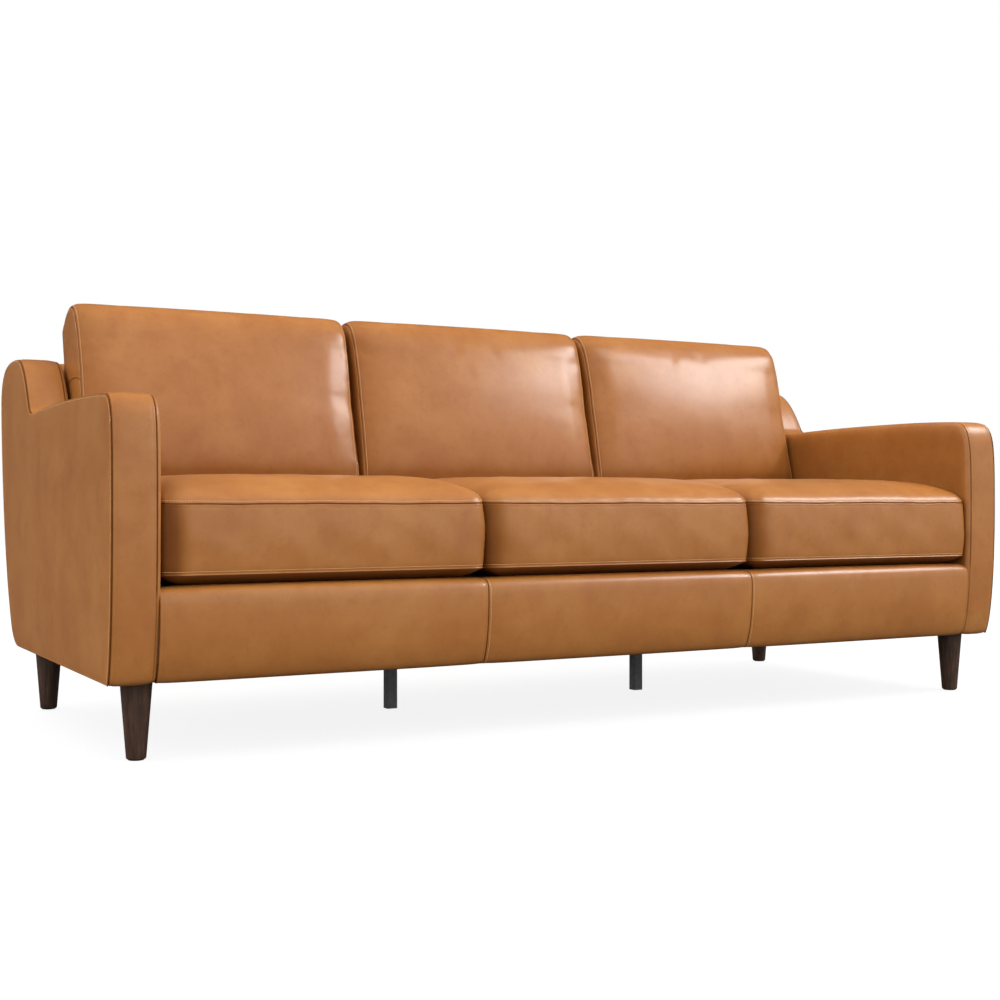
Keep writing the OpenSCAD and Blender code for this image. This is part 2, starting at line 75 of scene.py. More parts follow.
# Width of the band's edge that turns onto the arm's inner side, and swell of the arm's padding
WRAP = 8.0
ARM_SWELL = 2.0
PANEL_EDGES = [-BACK_SEAM_X, -RAIL_SEAM_X, RAIL_SEAM_X, BACK_SEAM_X]
THREE = ("left", "middle", "right")
SEAT_TOP = corners("seat_cover_middle")[1][2]

# Depth of a surface's rows from a seam, and how far each row stands off the surface
EDGE_ROWS = np.array([0.0, 0.5, 1.2, 2.4, 4.2, 5.6, 7.0, 9.5, 14.0, 21.0])
EDGE_RISE = np.array([-2.2, -0.9, -0.25, 0.0, -0.05, -0.4, -0.1, 0.1, 0.2, 0.25])
STITCH_ROW = 5
# Distance that stands for no seam near by, and the row spacing of large tight panels
FAR = 1e3
PANEL_STEP = 13.0


# Curves and grids -----------------------------------------


def bezier(a, b, c, d, n=24):
    """Points along a cubic curve, without its last point."""
    t = (np.arange(n) / n)[:, None]
    a, b, c, d = (np.array(p, float) for p in (a, b, c, d))
    return (1 - t) ** 3 * a + 3 * (1 - t) ** 2 * t * b + 3 * (1 - t) * t * t * c + t**3 * d


def chain(*parts):
    """Several runs of points as one line."""
    return np.vstack([np.atleast_2d(np.array(p, float)) for p in parts])


def lengths(line):
    """Distance along a line at each of its points."""
    steps = np.linalg.norm(np.diff(line, axis=0), axis=1)
    return np.concatenate([[0], np.cumsum(steps)])


def along(line, where):
    """Points at given shares, from 0 to 1, of a line's length."""
    run = lengths(line)
    where = np.asarray(where) * run[-1]
    return np.stack([np.interp(where, run, column) for column in line.T], axis=-1)


def evenly(line, step):
    """The line's points again, about a step apart."""
    count = max(2, int(round(lengths(line)[-1] / step)) + 1)
    return along(line, np.linspace(0, 1, count))


def outward(line):
    """Unit normals on the left of a clockwise depth and height line, which point out of it."""
    way = np.gradient(line, axis=0)
    way /= np.linalg.norm(way, axis=1)[:, None]
    return np.stack([-way[:, 1], way[:, 0]], axis=1)


def rows(length, step, ends=(True, True)):
    """Shares of a length where a grid has its rows: close together at a seam, even between."""
    start = EDGE_ROWS if ends[0] else np.array([0.0])
    stop = length - (EDGE_ROWS[::-1] if ends[1] else np.array([0.0]))
    count = max(2, int(round((stop[0] - start[-1]) / step)) + 1)
    middle = np.linspace(start[-1], stop[0], count)[1:-1]
    return np.concatenate([start, middle, stop]) / length


def rise(distance, rises=EDGE_RISE):
    """How far a surface stands off at a distance from its seam."""
    return np.interp(distance, EDGE_ROWS, rises)


def coons(low, high, first, last, u, v):
    """Points of the surface between four edges at shares u and v; low and high run along u."""
    u2, v2 = u[..., None], v[..., None]
    sides = (1 - v2) * along(low, u) + v2 * along(high, u)
    sides = sides + (1 - u2) * along(first, v) + u2 * along(last, v)
    ends = (1 - u2) * ((1 - v2) * low[0] + v2 * high[0]) + u2 * ((1 - v2) * low[-1] + v2 * high[-1])
    return sides - ends


def grid_quads(nu, nv):
    """Quads of a grid whose points are numbered row after row."""
    ids = np.arange(nu * nv).reshape(nu, nv)
    return np.stack([ids[:-1, :-1], ids[1:, :-1], ids[1:, 1:], ids[:-1, 1:]], -1).reshape(-1, 4)


def vertex_normals(points, quads):
    """Unit normals from the quads around each point."""
    a, b = points[quads[:, 2]] - points[quads[:, 0]], points[quads[:, 3]] - points[quads[:, 1]]
    face = np.cross(a, b)
    total = np.zeros_like(points)
    for k in range(4):
        np.add.at(total, quads[:, k], face)
    return total / np.maximum(np.linalg.norm(total, axis=1)[:, None], 1e-12)


def solid(loops):
    """Points and faces of a closed solid through loops that have equally many points."""
    ids = np.arange(len(loops) * len(loops[0])).reshape(len(loops), -1)
    after = np.roll(ids, -1, axis=1)
    walls = np.stack([ids[:-1], after[:-1], after[1:], ids[1:]], -1).reshape(-1, 4)
    return np.vstack(loops), [*walls, ids[0, ::-1], ids[-1]]


def new_mesh(name, points, faces, material, seam=None):
    """An object from points in mm; seam, from 0 to 1, darkens each point: seams and painted shade."""
    mesh = bpy.data.meshes.new(name)
    mesh.from_pydata((np.asarray(points) * MM).tolist(), [], [list(map(int, f)) for f in faces])
    mesh.polygons.foreach_set("use_smooth", [True] * len(mesh.polygons))
    if seam is not None:
        mesh.attributes.new("seam", "FLOAT", "POINT").data.foreach_set(
            "value", np.asarray(seam, np.float32).ravel()
        )
    mesh.materials.append(material)
    mesh.validate()
    obj = bpy.data.objects.new(name, mesh)
    bpy.context.scene.collection.objects.link(obj)
    return obj


def sided(points, side):
    """Points of the right side, moved to the left side where side is -1."""
    return points * np.array([side, 1, 1])


def facing(quads, side):
    """Quads turned over for the left side."""
    return quads if side > 0 else quads[:, ::-1]


def in_frame(x, depth_height):
    """Frame points from X and points as depth and height."""
    depth_height = np.asarray(depth_height)
    x = np.broadcast_to(x, depth_height.shape[:-1])
    return np.stack([x, depth_height[..., 0] + FRONT_Y, depth_height[..., 1]], axis=-1)


def declare(piece, body, replaced=()):
    """A finished piece: the body it rides on, and the CAD nodes it stands for."""
    if replaced:
        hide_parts(*replaced)
    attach(piece, body)


def hide(name, points, quads, seam, replaced, body="frame"):
    """A leather piece that stands for CAD nodes; seam is its darkening: seams and painted shade."""
    piece = new_mesh(f"leather_{name}", points, quads, LEATHER, seam)
    declare(piece, body, replaced)


def pad(name, points, faces, fill=1.0):
    """A foam piece that stands for the CAD node of its name."""
    piece = new_mesh(f"foam_{name}", points, faces, FOAM)
    declare(piece, "frame", [name])


def swept(line, off, xs):
    """A depth and height line, moved outwards by off, at every X, and its normals in the frame."""
    out = outward(line)
    made = in_frame(xs[:, None], line[None] + out[None] * off[..., None])
    return made, np.insert(out, 0, 0.0, axis=1)


# Stitches -------------------------------------------------


# Height of a thread's middle above the leather
THREAD_LIFT = 0.15


def stitches(name, body, lines, pitch=5.2, length=3.9, radius=0.55):
    """Rows of thread that ride on a body; each line is points and normals along a row, in mm."""
    turn = np.linspace(0, 2 * math.pi, 6)[:-1]
    tube = np.array([
        [x * length / 2, r * radius * math.cos(a), r * radius * math.sin(a)]
        for x, r in ((-1, 0.3), (-0.75, 1), (0.75, 1), (1, 0.3))
        for a in turn
    ])
    sides = [(5 * i + j, 5 * i + (j + 1) % 5) for i in range(3) for j in range(5)]
    quads = np.array([[a, b, b + 5, a + 5] for a, b in sides])
    points, faces, count = [], [], 0
    for line, normals in lines:
        run = lengths(line)
        total = int(run[-1] / pitch)
        if total < 1:
            continue
        at = (np.arange(total) + 0.5) / total
        centre = along(line, at)
        way = along(line, np.minimum(at + 0.002, 1)) - along(line, np.maximum(at - 0.002, 0))
        way /= np.linalg.norm(way, axis=1)[:, None]
        up = np.stack([np.interp(at * run[-1], run, normals[:, k]) for k in range(3)], 1)
        up -= (up * way).sum(1)[:, None] * way
        up /= np.linalg.norm(up, axis=1)[:, None]
        across = np.cross(up, way)
        axes = np.stack([way, across, up], axis=1)
        made = np.einsum("pk,nkj->npj", tube, axes) + (centre + THREAD_LIFT * up)[:, None]
        points.append(made.reshape(-1, 3))
        first = count + len(tube) * np.arange(total)
        faces.append((first[:, None, None] + quads).reshape(-1, 4))
        count += len(tube) * total
    piece = new_mesh(f"thread_{name}", np.vstack(points), np.vstack(faces), THREAD)
    declare(piece, body)


# Materials ------------------------------------------------


class Tree:
    """A short way to build a node tree."""

    def __init__(self, tree):
        self.tree = tree

    def feed(self, socket, value):
        """Links a socket, or gives it a fixed number, vector or colour."""
        if isinstance(value, bpy.types.NodeSocket):
            self.tree.links.new(value, socket)
        elif isinstance(value, tuple) and len(value) < len(socket.default_value):
            socket.default_value = (*value, 1)
        else:
            socket.default_value = value

    def node(self, kind, inputs=None, out=0, **values):
        """A new node with inputs given by name or number: one output, or itself without out."""
        node = self.tree.nodes.new(kind)
        for key, value in values.items():
            setattr(node, key, value)
        for key, value in (inputs or {}).items():
            self.feed(node.inputs[key], value)
        return node if out is None else node.outputs[out]

    def span(self, value, low, high, start=0.0, stop=1.0, **values):
        """A value's range from start to stop, moved to the range from low to high."""
        ends = {"From Min": start, "From Max": stop, "To Min": low, "To Max": high}
        return self.node("ShaderNodeMapRange", {"Value": value, **ends}, **values)

    def maths(self, kind, a, b):
        return self.node("ShaderNodeMath", {0: a, 1: b}, operation=kind)


class Finish(Tree):
    """The tree of a material, around one principled shader."""

    def __init__(self, name):
        self.material = bpy.data.materials.new(name)
        self.material.use_nodes = True
        super().__init__(self.material.node_tree)
        self.tree.nodes.clear()
        self.shader = self.node("ShaderNodeBsdfPrincipled", out=None)
        self.node("ShaderNodeOutputMaterial", {"Surface": self.shader.outputs[0]}, None)
        self.place = self.node("ShaderNodeTexCoord", out="Object")

    def set(self, **values):
        """Values or links of the shader's own sockets."""
        for key, value in values.items():
            self.feed(self.shader.inputs[key.replace("_", " ")], value)

    def scaled(self, *scale):
        return self.node("ShaderNodeMapping", {"Vector": self.place, "Scale": scale})

    def noise(self, scale, detail=4.0, rough=0.55, place=None, distort=0.0):
        inputs = {"Vector": place or self.place, "Scale": scale, "Detail": detail}
        inputs.update({"Roughness": rough, "Distortion": distort})
        return self.node("ShaderNodeTexNoise", inputs, "Fac")

    def cells(self, scale):
        return self.node("ShaderNodeTexVoronoi", {"Vector": self.place, "Scale": scale}, "Distance")

    def wave(self, scale, direction="X", distort=0.0, place=None):
        inputs = {"Vector": place or self.place, "Scale": scale, "Distortion": distort, "Detail": 3.0}
        return self.node("ShaderNodeTexWave", inputs, "Fac", bands_direction=direction)

    def ramp(self, value, *stops):
        """Colours that blend between stops, each a place and a colour."""
        colour = self.node("ShaderNodeValToRGB", {"Fac": value})
        elements = colour.node.color_ramp.elements
        while len(elements) < len(stops):
            elements.new(0.5)
        for element, (at, shade) in zip(elements, stops):
            element.position = at
            element.color = (*shade, 1)
        return colour

    def blend(self, share, a, b):
        return self.node("ShaderNodeMix", {0: share, 6: a, 7: b}, 2, data_type="RGBA")

    def weigh(self, a, b, share):
        """Two values added, the first with a share and the second with the rest of it."""
        return self.maths("ADD", self.maths("MULTIPLY", a, share), self.maths("MULTIPLY", b, 1 - share))

    def bump(self, height, depth, strength, under=None):
        inputs = {"Height": height, "Distance": depth * MM, "Strength": strength}
        if under is not None:
            inputs["Normal"] = under
        normal = self.node("ShaderNodeBump", inputs)
        self.set(Normal=normal)
        return normal


def leather():
    """Tan pull-up leather: soft mottling, darker pores, darker seams, painted shade from the seam
    attribute, and a fine pebble grain.
    """
    n = Finish("leather_tan")
    tans = (0.30, (0.362, 0.126, 0.025)), (0.50, (0.404, 0.149, 0.031)), (0.70, (0.446, 0.178, 0.040))
    base = n.ramp(n.noise(9.0, 6.0, 0.64, distort=0.2), *tans)
    patch = n.span(n.noise(40.0, 7.0, 0.74), 0.0, 0.50, 0.50, 0.76)
    base = n.blend(patch, base, (0.300, 0.090, 0.017))
    streak = n.span(n.noise(22.0, 5.0, 0.65, n.scaled(1.0, 1.0, 0.3)), 0.0, 0.26, 0.48, 0.80)
    base = n.blend(streak, base, (0.470, 0.196, 0.042))
    pore = n.span(n.cells(420.0), 0.34, 0.0, 0.0, 0.35)
    base = n.blend(pore, base, (0.240, 0.062, 0.012))
    # The seam attribute holds both the darker seams and painted shade (tucks, undersides, cushion feet,
    # arm insides); it darkens the colour towards a dark brown
    seam = n.node("ShaderNodeAttribute", out="Fac", attribute_name="seam")
    base = n.blend(n.maths("MULTIPLY", seam, 0.86), base, (0.085, 0.019, 0.004))
    n.set(Base_Color=base, Roughness=n.span(n.noise(18.0, 5.0, 0.6), 0.26, 0.36))
    # Gloss drops where that attribute is high: on the seams, and as painted shade of the gloss where
    # shade is painted
    n.set(Specular_IOR_Level=n.span(seam, 0.85, 0.15, 0.0, 0.55))
    crease = n.bump(n.noise(55.0, 5.0, 0.6, distort=0.4), 0.20, 0.5)
    grain = n.maths("ADD", n.cells(640.0), n.maths("MULTIPLY", n.noise(1500.0, 2.0), 0.5))
    n.bump(grain, 0.10, 0.55, under=crease)
    return n.material


def thread():
    """Waxed thread, a little lighter than the leather."""
    n = Finish("thread_tan")
    n.set(Base_Color=n.ramp(n.noise(900.0), (0.3, (0.62, 0.33, 0.13)), (0.7, (0.80, 0.48, 0.22))))
    n.set(Roughness=n.span(n.noise(1200.0), 0.5, 0.7))
    n.bump(n.wave(900.0, "DIAGONAL"), 0.05, 0.6)
    return n.material


def dark_wood():
    """Walnut stain over straight grain that runs up the leg."""
    n = Finish("wood_dark")
    n.set(Specular_IOR_Level=0.45, Coat_Weight=0.18, Coat_Roughness=0.28)
    place = n.scaled(1.0, 1.0, 0.07)
    grain = n.noise(240.0, 6.0, 0.65, place, distort=0.4)
    mixed = n.weigh(grain, n.noise(60.0, 3.0, 0.5, place, distort=1.5), 0.6)
    browns = (0.34, (0.028, 0.013, 0.008)), (0.5, (0.070, 0.035, 0.021)), (0.68, (0.128, 0.066, 0.038))
    n.set(Base_Color=n.ramp(mixed, *browns), Roughness=n.span(grain, 0.34, 0.52))
    n.bump(grain, 0.25, 0.4)
    return n.material


def black_metal():
    """Powder-coated steel."""
    n = Finish("metal_black")
    n.set(Metallic=0.0, Specular_IOR_Level=0.5, Roughness=n.span(n.noise(260.0), 0.40, 0.55))
    n.set(Base_Color=n.ramp(n.noise(90.0, 4.0), (0.3, (0.15, 0.15, 0.152)), (0.7, (0.20, 0.20, 0.202))))
    n.bump(n.noise(1500.0, 3.0), 0.08, 0.6)
    return n.material


def timber():
    """Planed pine frame timber with long grain."""
    n = Finish("timber_pine")
    place = n.scaled(0.10, 1.0, 1.0)
    fine = n.noise(420.0, 5.0, 0.6, place)
    mixed = n.weigh(n.wave(22.0, "Z", 6.0, place), fine, 0.7)
    pines = (0.2, (0.62, 0.42, 0.22)), (0.6, (0.52, 0.32, 0.15)), (0.9, (0.38, 0.21, 0.09))
    n.set(Base_Color=n.ramp(mixed, *pines), Roughness=n.span(fine, 0.55, 0.75))
    n.bump(fine, 0.2, 0.4)
    return n.material


def plywood():
    """Birch plywood with layered edges."""
    n = Finish("plywood_birch")
    fine = n.noise(160.0, 5.0, 0.6, n.scaled(1.0, 0.15, 1.0), distort=0.5)
    base = n.ramp(fine, (0.3, (0.52, 0.35, 0.19)), (0.7, (0.66, 0.48, 0.29)))
    layered = n.blend(n.span(n.wave(110.0, "X"), 0.0, 0.35), base, (0.34, 0.20, 0.10))
    n.set(Base_Color=layered, Roughness=n.span(fine, 0.6, 0.75))
    n.bump(fine, 0.15, 0.4)
    return n.material


def foam():
    """Open-cell polyurethane foam."""
    n = Finish("foam_cream")
    cell = n.cells(500.0)
    base = n.ramp(n.noise(14.0), (0.3, (0.80, 0.72, 0.50)), (0.7, (0.88, 0.82, 0.64)))
    n.set(Base_Color=base, Roughness=n.span(cell, 0.80, 0.95))
    n.bump(cell, 0.6, 0.8)
    return n.material


def lining():
    """Black woven lining cloth: two crossed sets of yarns."""
    n = Finish("cloth_black")
    n.set(Sheen_Weight=0.25, Sheen_Roughness=0.5, Roughness=n.span(n.noise(80.0), 0.8, 0.95))
    weave = n.maths("MAXIMUM", n.wave(260.0, "X"), n.wave(260.0, "Y"))
    n.set(Base_Color=n.blend(n.span(weave, 0.0, 0.8), (0.006, 0.006, 0.007), (0.035, 0.033, 0.032)))
    n.bump(weave, 0.25, 0.7)
    return n.material


def webbing():
    """Elastic upholstery webbing, ribbed along its length."""
    n = Finish("webbing_grey")
    pick = n.wave(120.0, "Z")
    ribbed = n.maths("MULTIPLY", n.wave(170.0, "X"), n.span(pick, 0.6, 1.0))
    n.set(Base_Color=n.ramp(ribbed, (0.2, (0.020, 0.021, 0.026)), (0.8, (0.075, 0.078, 0.090))))
    n.set(Roughness=n.span(pick, 0.7, 0.9))
    n.bump(ribbed, 0.4, 0.8)
    return n.material


def steel():
    """Zinc-plated steel with fine scratches."""
    n = Finish("steel_zinc")
    fine = n.noise(420.0, 5.0, 0.6, n.scaled(0.2, 1.0, 1.0))
    n.set(Metallic=1.0, Roughness=n.span(fine, 0.26, 0.48))
    n.set(Base_Color=n.ramp(fine, (0.3, (0.42, 0.43, 0.45)), (0.7, (0.58, 0.59, 0.60))))
    n.bump(fine, 0.04, 0.4)
    return n.material


LEATHER, THREAD, WOOD, BLACK, LINING = leather(), thread(), dark_wood(), black_metal(), lining()
TIMBER, PLYWOOD, FOAM, WEBBING, STEEL = timber(), plywood(), foam(), webbing(), steel()


# Arms -----------------------------------------------------


def outline(start, *curves):
    """Cubic curves end to end, each from its two handles, its end and its number of points."""
    made = []
    for *handles, end, count in curves:
        made.append(bezier(start, *handles, end, count))
        start = end
    return made


# Depth and height where the arm's rear meets its flat underside
HEEL = (765, BASE_Z)

FRONT_EDGE, CORNER, ARM_TOP, NOTCH, WING_FRONT, WING_TOP, REAR_TOP, REAR_EDGE, REAR_LOW = outline(
    (0, BASE_Z),
    ((-19, BASE_Z + 32), (-BULGE, BASE_Z + 160), (-BULGE, ARM_Z - 215), 60),
    ((-BULGE, ARM_Z - 60), (-BULGE, ARM_Z - 5), (22, ARM_Z - 5), 50),
    ((160, ARM_Z + 4), (430, ARM_Z + 0.5), (600, ARM_Z - 8), 60),
    ((628, ARM_Z - 9.5), (642, ARM_Z - 8), (654, ARM_Z + 4), 24),
    ((674, ARM_Z + 39), (694, ARM_Z + 75), (727, WING_Z - 17), 30),
    ((745, WING_Z - 4), (770, WING_Z), (806, WING_Z), 30),
    ((893, WING_Z), (952, WING_Z - 19.6), (REAR_Y, WING_Z - 81), 50),
    ((REAR_Y - 1, 560), (925, 360), (872, BASE_Z + 107), 60),
    ((850, BASE_Z + 60), (824, BASE_Z), HEEL, 40),
)
WHOLE_EDGE = chain(
    FRONT_EDGE, CORNER, ARM_TOP, NOTCH, WING_FRONT, WING_TOP, REAR_TOP, REAR_EDGE, REAR_LOW, HEEL
)
TURNED_UNDER = [[22, BASE_Z + 0.6], [8, BASE_Z + 0.2], [3, BASE_Z + 0.8]]


# A depth and height on the front of the inside back
BACK_AT = (742, 509)


def back_line(z):
    """Depth of the front of the inside back at a height."""
    return BACK_AT[0] + LEAN * (z - BACK_AT[1])


def inset(line, d):
    """An outline moved inwards by d."""
    return line - outward(line) * d


def seam_distance(shares, length, ends):
    """Distance of rows from the nearer sewn end; ends says which ends are sewn."""
    low = shares * length if ends[0] else np.full_like(shares, FAR)
    high = (1 - shares) * length if ends[1] else np.full_like(shares, FAR)
    return np.minimum(low, high)


def panel_grid(low, high, first, last, ends=((True, True), (True, True))):
    """Points of a panel between four edges, in depth and height, and their distance to a seam."""
    width = (lengths(low)[-1] + lengths(high)[-1]) / 2
    height = (lengths(first)[-1] + lengths(last)[-1]) / 2
    us, vs = rows(width, PANEL_STEP, ends[0]), rows(height, PANEL_STEP, ends[1])
    away_u, away_v = seam_distance(us, width, ends[0]), seam_distance(vs, height, ends[1])
    points = coons(low, high, first, last, *np.meshgrid(us, vs, indexing="ij"))
    return points, np.minimum(away_u[:, None], away_v[None])


def seam_shade(distance, reach=1.25):
    """Closeness to a seam, for the darker burnished leather."""
    return np.exp(-((np.asarray(distance) / reach) ** 2))


def ripple(a, b, size):
    """Slow, uneven waves of a stretched hide, about size mm high."""
    wave = (
        np.sin(a / 83.0 + 1.3) * np.cos(b / 121.0 - 0.4)
        + 0.6 * np.sin(a / 47.0 - b / 71.0)
        + 0.4 * np.cos(b / 39.0 + a / 133.0 + 2.1)
    )
    return size * wave / 2.0


# Points of the front corner, the rear top and the rear low curve where the outer panel has its
# corners, and how far inside the arm's outline its seam lies
FRONT_TURN, REAR_TURN, HEEL_TURN = 25, 21, 23
SEAM_INSET = 1.2
# How far the outer panel, the band's middle, the inner panel and the rail's panels puff out
OUTER_PUFF, BAND_CROWN, INNER_PUFF, RAIL_PUFF = 2.2, 2.0, 1.6, 3.0


def outer_panel(side, name):
    """The flat outer side of an arm, stretched over its board; returns its line of stitches."""
    edges = (
        chain(CORNER[FRONT_TURN:], ARM_TOP, NOTCH, WING_FRONT, WING_TOP, REAR_TOP[: REAR_TURN + 1]),
        chain(FRONT_EDGE, CORNER[: FRONT_TURN + 1]),
        chain(REAR_TOP[REAR_TURN:], REAR_EDGE, REAR_LOW[: HEEL_TURN + 1])[::-1],
        evenly(chain(REAR_LOW[HEEL_TURN:], HEEL, [[400, BASE_Z], [0, BASE_Z]]), 8.0)[::-1],
    )
    top, front = [inset(line, SEAM_INSET) for line in edges[:2]]
    # These two run the other way round, so their inside is on their other side
    rear, low = [inset(line, -SEAM_INSET) for line in edges[2:]]
    low[0], low[-1], top[0], top[-1] = front[0], rear[0], front[-1], rear[-1]
    points, away = panel_grid(low, top, front, rear)
    puff = 1.0 - np.exp(-np.maximum(away - 8, 0) / 40)
    x = OUTER_X - 1.0 + rise(away) + OUTER_PUFF * puff
    x += ripple(points[..., 0], points[..., 1], 0.35) * puff
    made = in_frame(x, points).reshape(-1, 3)
    quads = grid_quads(*away.shape)[:, ::-1]
    hide(name, sided(made, side), facing(quads, side), seam_shade(away), [name])
    k = STITCH_ROW
    grid = made.reshape(*away.shape, 3)
    loop = chain(grid[k, k:-k], grid[k:-k, -k - 1], grid[-k - 1, k:-k][::-1])
    return sided(loop, side), np.tile([side, 0.0, 0.0], (len(loop), 1))


def band(side, name):
    """The strip that runs up the arm front, along the arm, up the wing and down the rear."""
    line = evenly(chain(TURNED_UNDER, WHOLE_EDGE[3:-8]), 5.5)
    width = SEAM_X - INNER_X - WRAP
    us = rows(width, 8.0)
    round_edge = WRAP - EDGE_ROWS[EDGE_ROWS < WRAP][:0:-1]
    across = np.concatenate([[0.0], round_edge, WRAP + us * width])
    away = np.minimum(np.abs(across - WRAP), WRAP + width - across)
    share = np.clip((across - WRAP) / width, 0, 1)
    crown = BAND_CROWN * (1 - (2 * share - 1) ** 4)
    bend = 1 - np.sqrt(1 - np.clip(1 - across / WRAP, 0, 1) ** 2)
    # Below the deck, where the rail meets the band, the inner seam is shallower and lighter
    sewn = np.where(across < WRAP + 20, np.clip((line[:, 1] - DECK_Z) / 30 + 1, 0.4, 1)[:, None], 1)
    off = rise(away, EDGE_RISE * 1.1) * sewn - 1.0 + crown - WRAP * bend
    off = off + ripple(lengths(line)[:, None], share[None] * 60, 0.3) * crown[None] / 2
    shifted = line[:, None] + outward(line)[:, None] * off[..., None]
    lean_in = inward(line)[:, None] * (1 - across / across[-1])
    made = sided(in_frame(INNER_X + across - lean_in, shifted).reshape(-1, 3), side)
    quads = grid_quads(*off.shape)[:, ::-1]
    hide(name, made, facing(quads, side), seam_shade(away, 1.3) * sewn, [name])


def inward(points):
    """How far the arm's padding swells inwards: in front of the seat cushions and above them."""
    above = np.clip((points[..., 1] - SEAT_TOP) / 40, 0, 1)
    ahead = np.clip((2 - points[..., 0]) / 22, 0, 1)
    return ARM_SWELL * np.maximum(above, ahead)


def inner_panel(side, name):
    """The inner side of an arm, from its band to the inside back and the seat deck."""
    back_top = back_line(WING_Z - 20) + 6
    upper = chain(CORNER[FRONT_TURN:], ARM_TOP, NOTCH, WING_FRONT, WING_TOP)
    upper = inset(upper[upper[:, 0] < back_top - 1], WRAP)
    front = inset(chain(FRONT_EDGE, CORNER[: FRONT_TURN + 1]), WRAP)
    front = front[front[:, 1] > DECK_Z - 6]
    rear_low = [back_line(DECK_Z) + 6, DECK_Z - 2]
    rear = along(chain([rear_low], [upper[-1]]), np.linspace(0, 1, 30))
    low = along(chain([front[0]], [[30, DECK_Z - 4]], [rear_low]), np.linspace(0, 1, 90))
    upper[0] = front[-1]
    points, away = panel_grid(low, upper, front, rear, ends=((True, False), (False, True)))
    puff = INNER_PUFF * (1 - np.exp(-away / 9)) + inward(points)
    made = sided(in_frame(INNER_X + 0.3 - puff, points).reshape(-1, 3), side)
    # Painted shade over the inner side, darker away from its seams, for the shade between the arm and
    # the cushions
    shade = 0.5 * (1 - np.exp(-away / 12))
    hide(name, made, facing(grid_quads(*away.shape), side), shade, [name])


# Spacing of a long foam's outline points, and the foam's gap to each arm
FOAM_STEP, FOAM_GAP = 12.0, 2.0
# Layer of the arm's foam below its outline, and its gaps to the arm's inner and outer side
ARM_LAYER, ARM_GAPS = (6.0, 22.0), (6.0, 7.0)


def long_pad(name, rim):
    """A foam piece of one depth and height outline, from arm to arm."""
    line = evenly(chain(rim, rim[:1]), FOAM_STEP)[:-1]
    end = INNER_X - FOAM_GAP
    pad(name, *solid([in_frame(x, line) for x in (-end, end)]))


def arm_foam(side, name):
    """The foam that rounds the arm: a strip around its board, open below."""
    line = evenly(WHOLE_EDGE, 10.0)
    outer, inner = inset(line, ARM_LAYER[0]), inset(line, ARM_LAYER[1])
    lo_x, hi_x = INNER_X + ARM_GAPS[0], OUTER_X - ARM_GAPS[1]
    loops = [in_frame(lo_x, outer), in_frame(hi_x, outer), in_frame(hi_x, inner), in_frame(lo_x, inner)]
    count = len(line)
    quads = []
    for k in range(4):
        a, b = k * count, ((k + 1) % 4) * count
        quads += [[a + i, a + i + 1, b + i + 1, b + i] for i in range(count - 1)]
    caps = [[0, count, 2 * count, 3 * count], [count - 1 + k * count for k in (3, 2, 1, 0)]]
    pad(name, sided(np.vstack(loops), side), facing(np.array(quads + caps), side))


def make_arms():
    """Both arms: panels, bands, stitches and foam."""
    sewn = []
    for side, word in ((-1, "left"), (1, "right")):
        sewn.append(outer_panel(side, f"arm_outer_panel_{word}"))
        inner_panel(side, f"arm_inner_panel_{word}")
        band(side, f"arm_band_{word}")
        arm_foam(side, f"arm_padding_{word}")
    stitches("arms", "frame", sewn)


# Front rail -----------------------------------------------

RAIL = chain(
    TURNED_UNDER,
    bezier((0, BASE_Z), (-19, BASE_Z + 32), (-24, BASE_Z + 85), (-24, DECK_Z - 32), 50)[3:],
    bezier((-24, DECK_Z - 32), (-24.4, DECK_Z - 10), (-17, DECK_Z), (8, DECK_Z), 30),
    [[8, DECK_Z], [30, DECK_Z - 0.5], [69, DECK_Z - 1.0]],
)


def rail_panel(name, x0, x1):
    """One of the front rail's three panels, puffed between its seams; returns its stitches."""
    line = evenly(RAIL, 6.0)
    width = x1 - x0
    us = rows(width, 11.0)
    away = np.minimum(us, 1 - us)[:, None] * width
    run = lengths(line)[None]
    lift = 1.0 - np.exp(-np.maximum(away - 6, 0) / 35)
    swell = np.interp(run, [0, 40, 110, 190, 240], [0, 0.6, 1, 0.8, 0.3])
    off = rise(away) + RAIL_PUFF * lift * swell
    off = off + ripple(us[:, None] * width + x0, run * 1.4, 0.5) * lift * swell
    pucker = np.sin((run + 9 * np.sin(run / 31.0)) / 5.2)
    off = off + 0.22 * pucker * np.exp(-(((away - 11) / 8) ** 2))
    made, normal = swept(line, off, x0 + us * width)
    shade = np.broadcast_to(seam_shade(away), off.shape)
    hide(name, made.reshape(-1, 3), grid_quads(*off.shape), shade, [name])
    return made[STITCH_ROW], normal


def make_rail():
    """The front rail's panels, its stitches and its foam."""
    panels = [
        rail_panel(f"front_panel_{word}", *PANEL_EDGES[k : k + 2]) for k, word in enumerate(THREE)
    ]
    stitches("rail", "frame", panels[1:])
    inner = [[69, DECK_Z - 24], [24, DECK_Z - 24], [24, BASE_Z + 6]]
    long_pad("front_padding", chain(inset(evenly(RAIL, 8.0)[5:], 6.0), inner))


# Back -----------------------------------------------------

# Depth where the back's inside panel ends and its outside panels begin, how far the panels lie
# below the outline, and how far they puff out
SPLIT, BACK_SUNK, BACK_PUFF = 860.0, 0.8, 2.2


def back_profile():
    """Outline of the back between the arms, from the deck up, over the top and down the rear."""
    low = WING_Z - 52
    foot = [back_line(DECK_Z + 3), DECK_Z + 3]
    front = along(chain([foot], [[back_line(low), low]]), np.linspace(0, 1, 60))[:-1]
    over = bezier(
        (back_line(low), low), (back_line(low) + 6, low + 26), (back_line(low) + 18, low + 48),
        REAR_TOP[6], 24,
    )
    return chain(front, over, REAR_TOP[6:], REAR_EDGE, REAR_LOW)


